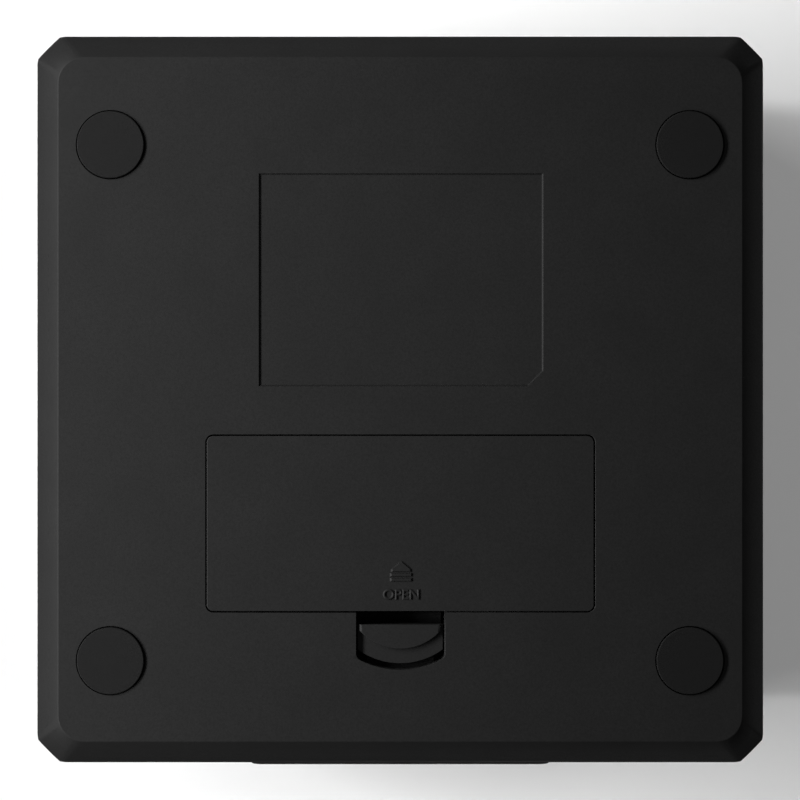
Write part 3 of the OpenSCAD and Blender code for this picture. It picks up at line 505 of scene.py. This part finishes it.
def bar(a, b, width):
    """Outline of a straight stroke from a to b."""
    along = Vector((b[0] - a[0], b[1] - a[1])).normalized() * (width / 2)
    return [(a[0] + along.y, a[1] - along.x), (b[0] + along.y, b[1] - along.x),
            (b[0] - along.y, b[1] + along.x), (a[0] - along.y, a[1] + along.x)]


def letters(work, words, left, foot, right, head, low, high, slope=0.0):
    """Upright plain capitals that fill a box on a face.

    The slope is the width of their sloping sides, as a share of the type size.
    """
    text = bpy.data.curves.new("letters", "FONT")
    text.body = words
    text.extrude = slope or 0.5
    text.bevel_depth = slope
    text.bevel_resolution = 0
    text.offset = -0.35 * slope
    text.resolution_u = 4
    holder = bpy.data.objects.new("letters", text)
    mesh = bpy.data.meshes.new_from_object(holder)
    drawn = bmesh.new()
    drawn.from_mesh(mesh)
    bmesh.ops.remove_doubles(drawn, verts=drawn.verts, dist=1e-5)
    lows = [min(v.co[k] for v in drawn.verts) for k in range(3)]
    highs = [max(v.co[k] for v in drawn.verts) for k in range(3)]
    box = ((left, right), (foot, head), (low, high))
    for v in drawn.verts:
        for k, (start, end) in enumerate(box):
            v.co[k] = start + (end - start) * (v.co[k] - lows[k]) / (highs[k] - lows[k])
    bmesh.ops.dissolve_limit(
        drawn, angle_limit=math.radians(1), verts=drawn.verts, edges=drawn.edges)
    drawn.to_mesh(mesh)
    drawn.free()
    work.from_mesh(mesh)
    bpy.data.objects.remove(holder)
    bpy.data.curves.remove(text)
    bpy.data.meshes.remove(mesh)


def mark(name, work, face, body, slot, surface):
    """Piece that is drawn on a face and turned to it."""
    bmesh.ops.transform(work, matrix=face, verts=work.verts)
    piece(name, close(work, name), body, slot, surface)


# Arrow and word moulded on the door: low ridges, whose left slopes catch the low lamp

MARK_U = 0.15
RIDGE = (-FACE - 0.005, -FACE + 0.19)
WORD = (-FACE - 0.3, -FACE + 0.18)
TIP_FOOT = ((-1.46, -23.63), (1.46, -23.63), (1.46, -23.3), (0, -22.1), (-1.46, -23.3))
TIP_TOP = ((-1.19, -23.53), (1.19, -23.53), (1.19, -23.25), (0, -22.25), (-1.19, -23.25))
BARS_V = ((-24.27, -23.78), (-24.94, -24.46))
door_mark = bmesh.new()
raised(door_mark, [(MARK_U + u, v) for u, v in TIP_FOOT], *RIDGE,
       top=[(MARK_U + u, v) for u, v in TIP_TOP])
for foot, head in BARS_V:
    raised(door_mark, oblong(MARK_U - 1.59, foot, MARK_U + 1.59, head), *RIDGE,
           top=oblong(MARK_U - 1.32, foot + 0.1, MARK_U + 1.32, head - 0.08))
letters(door_mark, "OPEN", MARK_U - 2.54, -27.48, MARK_U + 2.54, -25.96, *WORD, slope=0.08)
mark("door_mark", door_mark, UNDER, "door", "case_plastic", case_plastic)


# Display: black border printed behind the lens, and the segments of the liquid crystal

DISPLAY = (0, 52.0)
MASK = (48.57, 48.592)
mask = bmesh.new()
ring(mask, rounded(83.6, 69.6, 3.9, DISPLAY), rounded(71.6, 53.6, 2.0, DISPLAY), *MASK)
mark("lens_mask", mask, AHEAD, "case", None, mask_ink)

GLASS = 47.5
ON = (GLASS - 0.01, GLASS + 0.035)
OFF = (GLASS - 0.01, GLASS + 0.015)
LEAN = math.tan(math.radians(6))
DOT_LEAN = 0.1
STROKES = {"0": "abcdef", "1": "bc", "2": "abged", "3": "abgcd",
           "5": "afgcd", "6": "afgedc", "8": "abcdefg", "C": "afed"}
# Rows of figures: height of their middle, width, height and stroke
TIME_ROW = (59.0, 11.6, 23.0, 2.3)
SMALL_ROW = (36.0, 4.8, 8.6, 0.95)
segments_on = bmesh.new()
segments_off = bmesh.new()


def figure(sign, u, v, width, height, stroke):
    """Seven-segment figure that leans a little; the segments that are off stay faintly visible."""
    half = stroke / 2
    side = width / 2 - half
    step = (height - stroke) / 4
    reach = width / 2 - stroke * 0.6
    run = step - stroke * 0.08
    across = [(-reach, 0), (half - reach, half), (reach - half, half),
              (reach, 0), (reach - half, -half), (half - reach, -half)]
    upright = [(0, run), (half, run - half), (half, half - run),
               (0, -run), (-half, half - run), (-half, run - half)]
    for letter, shape, du, dv in (
        ("a", across, 0, 2 * step), ("g", across, 0, 0), ("d", across, 0, -2 * step),
        ("b", upright, side, step), ("c", upright, side, -step),
        ("f", upright, -side, step), ("e", upright, -side, -step),
    ):
        outline = [(u + du + a + (dv + b) * LEAN, v + dv + b) for a, b in shape]
        if letter in STROKES[sign]:
            raised(segments_on, outline, *ON)
        else:
            raised(segments_off, outline, *OFF)


def colon(u, row, radius, gap):
    """Two dots between the figures of a row, a gap below and above its middle."""
    for dv in (-gap, gap):
        raised(segments_on, disc(radius, (u + dv * DOT_LEAN, row[0] + dv)), *ON)


def bell(work, u, v, size, low, high):
    """Bell with its clapper, size across."""
    half = size / 2
    body = [(1.0, -0.62), (0.78, -0.3), *arc(0.72, 0.25, 0, 181, 15),
            (-0.78, -0.3), (-1.0, -0.62)]
    clapper = arc(0.3, -0.74, 180, 361, 20)
    for shape in (body, clapper):
        raised(work, [(u + a * half, v + b * half) for a, b in shape], low, high)


DEGREE = (26.4, 39.2)
for sign, u in (("1", -21.0), ("0", -6.4), ("0", 11.0), ("8", 25.6)):
    figure(sign, u, *TIME_ROW)
colon(2.3, TIME_ROW, 1.15, 5.0)
for sign, u in (("6", -24.0), ("3", -15.6), ("0", -9.4)):
    figure(sign, u, *SMALL_ROW)
colon(-19.8, SMALL_ROW, 0.5, 1.6)
for sign, u in (("2", 8.0), ("3", 14.2), ("5", 21.6), ("C", 30.6)):
    figure(sign, u, *SMALL_ROW)
raised(segments_on, disc(0.55, (17.4, 32.3)), *ON)
ring(segments_on, disc(0.85, DEGREE), disc(0.45, DEGREE), *ON)
bell(segments_on, -31.4, 36.2, 4.6, *ON)
letters(segments_on, "AM", -33.6, 67.4, -29.4, 69.8, *ON)
letters(segments_off, "PM", -33.6, 49.6, -29.4, 52.0, *OFF)
raised(segments_on, bar((-34.0, 44.0), (34.0, 44.0), 0.4), *ON)
mark("lcd_segments_on", segments_on, AHEAD, "case", None, crystal_dark)
mark("lcd_segments_off", segments_off, AHEAD, "case", None, crystal_ghost)


# Signs pad-printed on the rear panel: clock, tick, up, down, alarm on and alarm off

PRINT = (PANEL_FACE - 0.01, PANEL_FACE + 0.02)
STRIKE = (PANEL_FACE - 0.01, PANEL_FACE + 0.03)
CLOCK = (-13.5, 33.5)
panel_print = bmesh.new()
ring(panel_print, disc(1.0, CLOCK), disc(0.78, CLOCK), *PRINT)
for end in ((-13.5, 34.1), (-13.1, 33.5)):
    raised(panel_print, bar(CLOCK, end, 0.2), *PRINT)
for outline in (
    [(-5.3, 33.5), (-4.8, 32.75), (-3.6, 34.2), (-3.8, 34.4), (-4.8, 33.2), (-5.1, 33.7)],
    [(3.5, 32.8), (5.5, 32.8), (4.5, 34.3)],
    [(12.5, 34.2), (13.5, 32.7), (14.5, 34.2)],
):
    raised(panel_print, outline, *PRINT)
for u in (-7.6, 7.6):
    bell(panel_print, u, 17.2, 2.4, *PRINT)
raised(panel_print, bar((6.2, 15.8), (9.0, 18.6), 0.3), *STRIKE)
mark("panel_print", panel_print, BEHIND, "case", None, print_ink)

# Sign for sleep, printed in front of the bar
TOP_PRINT = (TOP - 0.01, TOP + 0.02)
top_print = bmesh.new()
letters(top_print, "Z", -3.0, -22.4, 0.2, -18.6, *TOP_PRINT)
letters(top_print, "Z", 0.9, -22.4, 3.0, -19.9, *TOP_PRINT)
mark("top_print", top_print, ABOVE, "case", None, print_ink)

# Grip ribs on the alarm switch's knob
KNOB = (1.5, 17.1)
RIB_PITCH = 0.8
RIB = (PANEL_FACE - 0.2, PANEL_FACE + 0.08)
knob_ribs = bmesh.new()
for k in range(4):
    middle = (KNOB[0] + (k - 1.5) * RIB_PITCH, KNOB[1])
    raised(knob_ribs, rounded(0.42, 2.0, 0.2, middle, 3), *RIB, rim=0.08)
mark("knob_ribs", knob_ribs, BEHIND, "alarm_slider", "knob_plastic", knob_plastic)


# Cells, contacts and springs

def lathe(work, centre, way, profile, steps=40):
    """Turned shape along X.

    Its profile is (reach along the way, radius, finish index of the band that follows).
    """
    rings = []
    for reach, radius, _ in profile:
        rings.append([work.verts.new((centre[0] + way * reach, y, z))
                      for y, z in disc(radius, centre[1:], steps)])
    for k in range(len(rings) - 1):
        for i in range(steps):
            j = (i + 1) % steps
            band = work.faces.new((rings[k][i], rings[k][j], rings[k + 1][j], rings[k + 1][i]))
            band.material_index = profile[k][2]
    work.faces.new(rings[0][::-1]).material_index = profile[0][2]
    work.faces.new(rings[-1]).material_index = profile[-1][2]


CELL_Z = 7.75
FRONT_CELL = 11.65
REAR_CELL = 22.35
# From the flat end to the nub; finishes are 0 wrap, 1 band and 2 steel
CELL_PROFILE = [
    (0.0, 3.4, 2), (0.05, 3.7, 2), (0.3, 4.0, 2), (0.3, 4.55, 0), (0.0, 4.75, 0),
    (0.0, 5.0, 0), (0.12, 5.17, 0), (0.4, 5.25, 0), (33.0, 5.25, 1), (42.9, 5.25, 1),
    (43.2, 5.17, 1), (43.4, 4.95, 1), (43.4, 4.4, 2), (43.2, 4.2, 2), (43.2, 2.3, 2),
    (43.35, 2.0, 2), (43.6, 1.9, 2), (44.3, 1.9, 2), (44.46, 1.8, 2), (44.5, 1.6, 2)]
for name, node, y, start, way in (
    ("cell_front", "front_cell", FRONT_CELL, -20.8, 1),
    ("cell_rear", "rear_cell", REAR_CELL, 20.8, -1),
):
    work = bmesh.new()
    lathe(work, (start, y, CELL_Z), way, CELL_PROFILE)
    piece(name, close(work, name), "case", "cell_wrap", cell_wrap, cell_band, can_steel,
          stands_for=[node])


def smooth(points, steps=8):
    """Smooth run through the points of a route."""
    ends = [points[0]] + list(points) + [points[-1]]
    run = []
    for a, b, c, d in zip(ends, ends[1:], ends[2:], ends[3:]):
        a, b, c, d = (Vector(q) for q in (a, b, c, d))
        for i in range(steps):
            t = i / steps
            run.append(((2 * b) + (c - a) * t + (2 * a - 5 * b + 4 * c - d) * t ** 2
                        + (3 * b - a - 3 * c + d) * t ** 3) / 2)
    return run + [Vector(points[-1])]


def swept(work, path, profile, side):
    """Carries a profile along a path; side is the way of its width, and not that of the path."""
    rings = []
    for i, spot in enumerate(path):
        along = (path[min(i + 1, len(path) - 1)] - path[max(i - 1, 0)]).normalized()
        rise = along.cross(side).normalized()
        across = rise.cross(along)
        rings.append([work.verts.new(spot + across * a + rise * b) for a, b in profile])
    count = len(profile)
    for low, high in zip(rings, rings[1:]):
        for i in range(count):
            k = (i + 1) % count
            work.faces.new((low[i], low[k], high[k], high[i]))
    work.faces.new(rings[0][::-1])
    work.faces.new(rings[-1])


FLAT_TURN = 0.6


def coil(start, end, height, turns, steps=24):
    """Path of a coil along Z, flat at each end; the radius goes from start to end."""
    path = []
    for i in range(int(turns * steps) + 1):
        share = i / (turns * steps)
        climb = min(1.0, max(0.0, (share * turns - FLAT_TURN) / (turns - 2 * FLAT_TURN)))
        radius = start + (end - start) * share
        turn = math.tau * i / steps
        path.append(Vector((radius * math.cos(turn), radius * math.sin(turn), height * climb)))
    return path


# A contact is drawn on the right end wall: its plate, its spring's seat and its tail
PLATE_X = (24.9, 25.3)
PLATE_H = 8.5
TAIL_X = (25.2, 28.7)
TAIL_Z = 11.0
SPRING_X = 24.65
CONE = coil(3.4, 2.4, 3.4, 4.5)
CONE_WIRE = disc(0.3, steps=10)
TO_RIGHT = Matrix(((0, 0, 1), (1, 0, 0), (0, 1, 0))).to_4x4()
TO_LEFT = Matrix(((0, 0, -1), (0, 1, 0), (1, 0, 0))).to_4x4()


def contact(name, node, way, plate, dimple, spring, tail):
    """Pressed contact in the end wall on the way's side.

    It has a plate, a dimple for a nub, a cone spring for a flat end and a solder tail.
    """
    work = bmesh.new()
    low, high = plate
    raised(work, rounded(high - low, PLATE_H, 0.9, ((low + high) / 2, CELL_Z)), *PLATE_X, rim=0.08)
    if tail:
        raised(work, rounded(2.0, 0.4, 0.1, (tail, TAIL_Z), 2), *TAIL_X, rim=0.08)
    bmesh.ops.transform(work, matrix=TO_RIGHT, verts=work.verts)
    if dimple:
        dome = [(24.95, 2.2, 0)]
        for t in range(0, 91, 15):
            turn = math.radians(t)
            dome.append((24.75 - 0.7 * math.sin(turn), 0.4 + 1.8 * math.cos(turn), 0))
        lathe(work, (0, dimple, CELL_Z), 1, dome, 24)
    if spring:
        seat = Matrix.Translation((SPRING_X, spring, CELL_Z)) @ TO_LEFT
        swept(work, [seat @ q for q in CONE], CONE_WIRE, Vector((1, 0, 0)))
    for v in work.verts:
        v.co.x *= way
    piece(name, close(work, name), "case", "spring_steel", spring_steel, stands_for=[node])


contact("contact_bridge", "bridge_contact", -1, (7.15, 26.85), REAR_CELL, FRONT_CELL, None)
contact("contact_positive", "positive_contact", 1, (7.15, 16.15), FRONT_CELL, None, FRONT_CELL)
contact("contact_negative", "negative_contact", 1, (17.85, 26.85), None, REAR_CELL, REAR_CELL)

# The bar's two springs, each with a mesh of its own; the bar travels 1.2 mm
for side, x in (("left", -22), ("right", 22)):
    work = bmesh.new()
    seat = Vector((x, 0, 87.31))
    path = [seat + q for q in coil(2.7, 2.7, 6.95, 6)]
    swept(work, path, disc(0.25, steps=10), Vector((0, 0, 1)))
    name = "bar_spring_" + side
    made = piece(name, close(work, name), "case", "spring_steel", spring_steel,
                 stands_for=["snooze_spring_" + side])
    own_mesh(made)


# Leads and flat cables, on the routes of the solids

BOARD_Y = -40.9
CABLE_CREASE = 50


def between(a, b, share):
    return Vector(a).lerp(Vector(b), share)


def battery_route(a, b, bulge):
    """From a contact's tail to the main board, with a bulge to the right and up."""
    return [a, Vector(a) + Vector((0.55, 0, 0.15)) * bulge,
            between(a, b, 0.17) + Vector((1, 0, 0.5)) * bulge,
            between(a, b, 0.5) + Vector((0.85, 0, 0.4)) * bulge,
            between(a, b, 0.83) + Vector((0.2, 0, 0.3)) * bulge,
            Vector(b) + Vector((0, 3, 0)), b]


def slack_route(a, b, sag):
    """Forward through the case to the main board, with a sag."""
    return [a, Vector(a) - Vector((0, 6.5, 0)), between(a, b, 0.29) - Vector((0, 0, sag)),
            between(a, b, 0.64) - Vector((0, 0, sag)), Vector(b) + Vector((0, 6.5, 0)), b]


def drop_route(a, b):
    """Down from the bar's board and forward to the main board."""
    return [a, (a[0], a[1] - 1, between(a, b, 0.47).z), (a[0], between(a, b, 0.24).y, b[2]),
            (b[0], between(a, b, 0.61).y, between(a, b, 1.18).z), Vector(b) + Vector((0, 5, 0)), b]


sleeves = {"red": red_sleeve, "black": black_sleeve}
lead_profile = disc(0.6, steps=12)
for origin, colour, route in (
    ("battery", "red", battery_route((TAIL_X[1], FRONT_CELL, TAIL_Z), (26, BOARD_Y, 32), 6.5)),
    ("battery", "black", battery_route((TAIL_X[1], REAR_CELL, TAIL_Z), (30, BOARD_Y, 37), 8)),
    ("buzzer", "red", slack_route((3, 44.55, 64.4), (10, BOARD_Y, 56), 5)),
    ("buzzer", "black", slack_route((-12, 44.8, 64.4), (-6, BOARD_Y, 50), 8)),
):
    work = bmesh.new()
    swept(work, smooth(route), lead_profile, Vector((0.2, 0.1, 1)))
    name = "lead_%s_%s" % (origin, colour)
    piece(name, close(work, name, CABLE_CREASE), "case", colour + "_sleeve", sleeves[colour],
          stands_for=["%s_lead_%s" % (origin, colour)])

# A flat cable of eight round cores side by side
cable_profile = []
for face in (1, -1):
    for core in range(8):
        for t in range(15, 180, 30):
            turn = math.radians(t)
            cable_profile.append((face * (3.5 - core + 0.5 * math.cos(turn)),
                                  face * (0.12 + 0.28 * math.sin(turn))))
for name, node, route in (
    ("cable_controls", "control_ribbon", slack_route((0, 40.0, 29.6), (0, BOARD_Y, 26), 5)),
    ("cable_bar", "snooze_ribbon", drop_route((-14, -8, 85.4), (-14, BOARD_Y, 74))),
):
    work = bmesh.new()
    swept(work, smooth(route), cable_profile, Vector((1, 0, 0)))
    piece(name, close(work, name, CABLE_CREASE), "case", "ribbon_grey", ribbon_pvc,
          stands_for=[node])


# Inner pieces keep their solids and get their own surfaces

for surface, nodes in (
    (crystal_ground, ["lcd_glass"]),
    (white_plastic, ["lcd_frame"]),
    (guide_acrylic, ["light_guide"]),
    (lamp_resin, ["backlight_lamp"]),
    (strip_rubber, ["zebra_strips"]),
    (board_laminate, ["main_board", "snooze_board", "control_board"]),
    (chip_epoxy, ["controller_chip"]),
    (can_steel, ["crystal_can", "alarm_switch"]),
    (switch_plastic, ["snooze_switch", "set_switches"]),
    (plunger_plastic, ["snooze_plunger", "mode_plunger", "set_plunger", "up_plunger",
                       "down_plunger"]),
    (screw_steel, ["case_screws", "board_screws", "snooze_board_screws", "control_board_screws"]),
    (brass, ["buzzer_disc"]),
    (ceramic, ["buzzer_ceramic"]),
):
    for node in nodes:
        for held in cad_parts[node].material_slots:
            held.material = surface


# Stage: a pale table that shows only from above, and a pale sheet behind the upturned clock that
# shows only from below; away from the clock both fade into the pale room

SHEET_REACH = 4000.0


def sheet(name, height, facing):
    """Wide flat sheet that faces up (1) or down (-1)."""
    work = bmesh.new()
    corners = [work.verts.new((x * SHEET_REACH, y * SHEET_REACH, height))
               for x, y in ((-1, -1), (1, -1), (1, 1), (-1, 1))]
    work.faces.new(corners if facing > 0 else corners[::-1])
    mesh = bpy.data.meshes.new(name)
    for v in work.verts:
        v.co *= MM
    work.to_mesh(mesh)
    work.free()
    made = bpy.data.objects.new(name, mesh)
    bpy.context.scene.collection.objects.link(made)
    return made


def stage_paper(name, code, mirrors, fade):
    """Paper that shows from its front side.

    The camera sees it within the fade, and mirrors see it from a distance on, in millimetres.
    """
    made = bpy.data.materials.new(name)
    made.use_nodes = True
    tree = made.node_tree
    tree.nodes.clear()
    paper = add(tree, "ShaderNodeBsdfDiffuse", {"Color": linear(code)})
    clear = add(tree, "ShaderNodeBsdfTransparent")
    ray = add(tree, "ShaderNodeLightPath")
    side = add(tree, "ShaderNodeNewGeometry")
    mirror = add(tree, "ShaderNodeMath", {
        0: ray.outputs["Is Glossy Ray"], 1: ray.outputs["Is Transmission Ray"]},
        operation="MAXIMUM")
    far_off = add(tree, "ShaderNodeMapRange", {
        "Value": ray.outputs["Ray Length"],
        "From Min": mirrors[0] * MM, "From Max": mirrors[1] * MM},
        interpolation_type="SMOOTHSTEP")
    mirrored = add(tree, "ShaderNodeMath", {
        0: mirror.outputs[0], 1: far_off.outputs[0]}, operation="MULTIPLY")
    reach = add(tree, "ShaderNodeVectorMath", {0: side.outputs["Position"]}, operation="LENGTH")
    close_by = add(tree, "ShaderNodeMapRange", {
        "Value": reach.outputs["Value"], "From Min": fade[0] * MM, "From Max": fade[1] * MM,
        "To Min": 1.0, "To Max": 0.0}, interpolation_type="SMOOTHSTEP")
    looked = add(tree, "ShaderNodeMath", {
        0: ray.outputs["Is Camera Ray"], 1: close_by.outputs[0]}, operation="MULTIPLY")
    seen = add(tree, "ShaderNodeMath", {
        0: mirrored.outputs[0], 1: looked.outputs[0]}, operation="MAXIMUM")
    turned = add(tree, "ShaderNodeMath", {
        0: 1.0, 1: side.outputs["Backfacing"]}, operation="SUBTRACT")
    shown = add(tree, "ShaderNodeMath", {
        0: seen.outputs[0], 1: turned.outputs[0]}, operation="MULTIPLY")
    mixed = add(tree, "ShaderNodeMixShader", {
        0: shown.outputs[0], 1: clear.outputs[0], 2: paper.outputs[0]})
    add(tree, "ShaderNodeOutputMaterial", {"Surface": mixed.outputs[0]})
    return made


table = sheet("table", 0.0, 1)
table.data.materials.append(stage_paper("Paper_table", "#f0f0ee", (25, 100), (200, 600)))
backing = sheet("backing", BAR_TOP + 0.05, -1)
backing.data.materials.append(stage_paper("Paper_backing", "#f4f4f4", (1400, 1600), (150, 220)))


# Light: one soft lamp low on the left of the upturned base, and soft lamps over the upright clock

def lamp(name, spot, aim, width, depth, watts, only=None, but=None):
    """Soft lamp for all pieces, for only one or for all but one."""
    light = bpy.data.lights.new(name, "AREA")
    light.shape = "RECTANGLE"
    light.size = width * MM
    light.size_y = depth * MM
    light.energy = watts
    made = bpy.data.objects.new(name, light)
    made.location = Vector(spot) * MM
    made.rotation_euler = (Vector(aim) - Vector(spot)).to_track_quat("-Z", "Y").to_euler()
    bpy.context.scene.collection.objects.link(made)
    if only or but:
        lit = bpy.data.collections.new(name + "_receivers")
        lit.objects.link(only or but)
        lit.collection_objects[0].light_linking.link_state = "INCLUDE" if only else "EXCLUDE"
        made.light_linking.receiver_collection = lit
    return made


base_lamp = lamp("base_lamp", (-160, -30, -95), (-12, -14, 0), 300, 40, 0.173)
base_lamp.data.spread = math.radians(90)
lamp("backing_key", (-650, -30, -200), (0, 0, 100), 300, 300, 7.8, only=backing)
lamp("backing_fill", (500, -100, -500), (0, 0, 100), 500, 500, 1.7, only=backing)
lamp("table_key", (-330, -330, 850), (0, 0, 50), 420, 420, 4.8, but=lens_pane)
lamp("table_fill", (380, -150, 850), (0, 0, 50), 420, 420, 2.0, but=lens_pane)
lamp("table_back", (80, 380, 850), (0, 0, 50), 420, 420, 2.2, but=lens_pane)

# The room's light is dim at the horizon, so that the slopes of the case stay dark, and a little
# brighter in front; the camera sees the room pale
HORIZON = 0.015
room = bpy.data.worlds.new("room")
room.use_nodes = True
tree = room.node_tree
tree.nodes.clear()
view = add(tree, "ShaderNodeTexCoord")
way = add(tree, "ShaderNodeSeparateXYZ", {0: view.outputs["Generated"]})
under = add(tree, "ShaderNodeMapRange", {
    "Value": way.outputs["Z"], "From Min": -1.0, "From Max": 0.0,
    "To Min": 0.075, "To Max": HORIZON})
over = add(tree, "ShaderNodeMapRange", {
    "Value": way.outputs["Z"], "From Min": 0.1, "From Max": 0.8,
    "To Min": HORIZON, "To Max": 0.4})
front = add(tree, "ShaderNodeMapRange", {
    "Value": way.outputs["Y"], "From Min": -1.0, "From Max": -0.2, "To Min": 0.05, "To Max": 0.0})
round_glow = add(tree, "ShaderNodeMath", {
    0: under.outputs[0], 1: over.outputs[0]}, operation="MAXIMUM")
room_light = add(tree, "ShaderNodeMath", {
    0: round_glow.outputs[0], 1: front.outputs[0]}, operation="ADD")
looked = add(tree, "ShaderNodeLightPath")
glow = add(tree, "ShaderNodeMath", {
    0: looked.outputs["Is Camera Ray"], 1: 0.85, 2: room_light.outputs[0]},
    operation="MULTIPLY_ADD")
air = add(tree, "ShaderNodeBackground", {"Color": (1, 1, 1, 1), "Strength": glow.outputs[0]})
add(tree, "ShaderNodeOutputWorld", {"Surface": air.outputs[0]})
bpy.context.scene.world = room
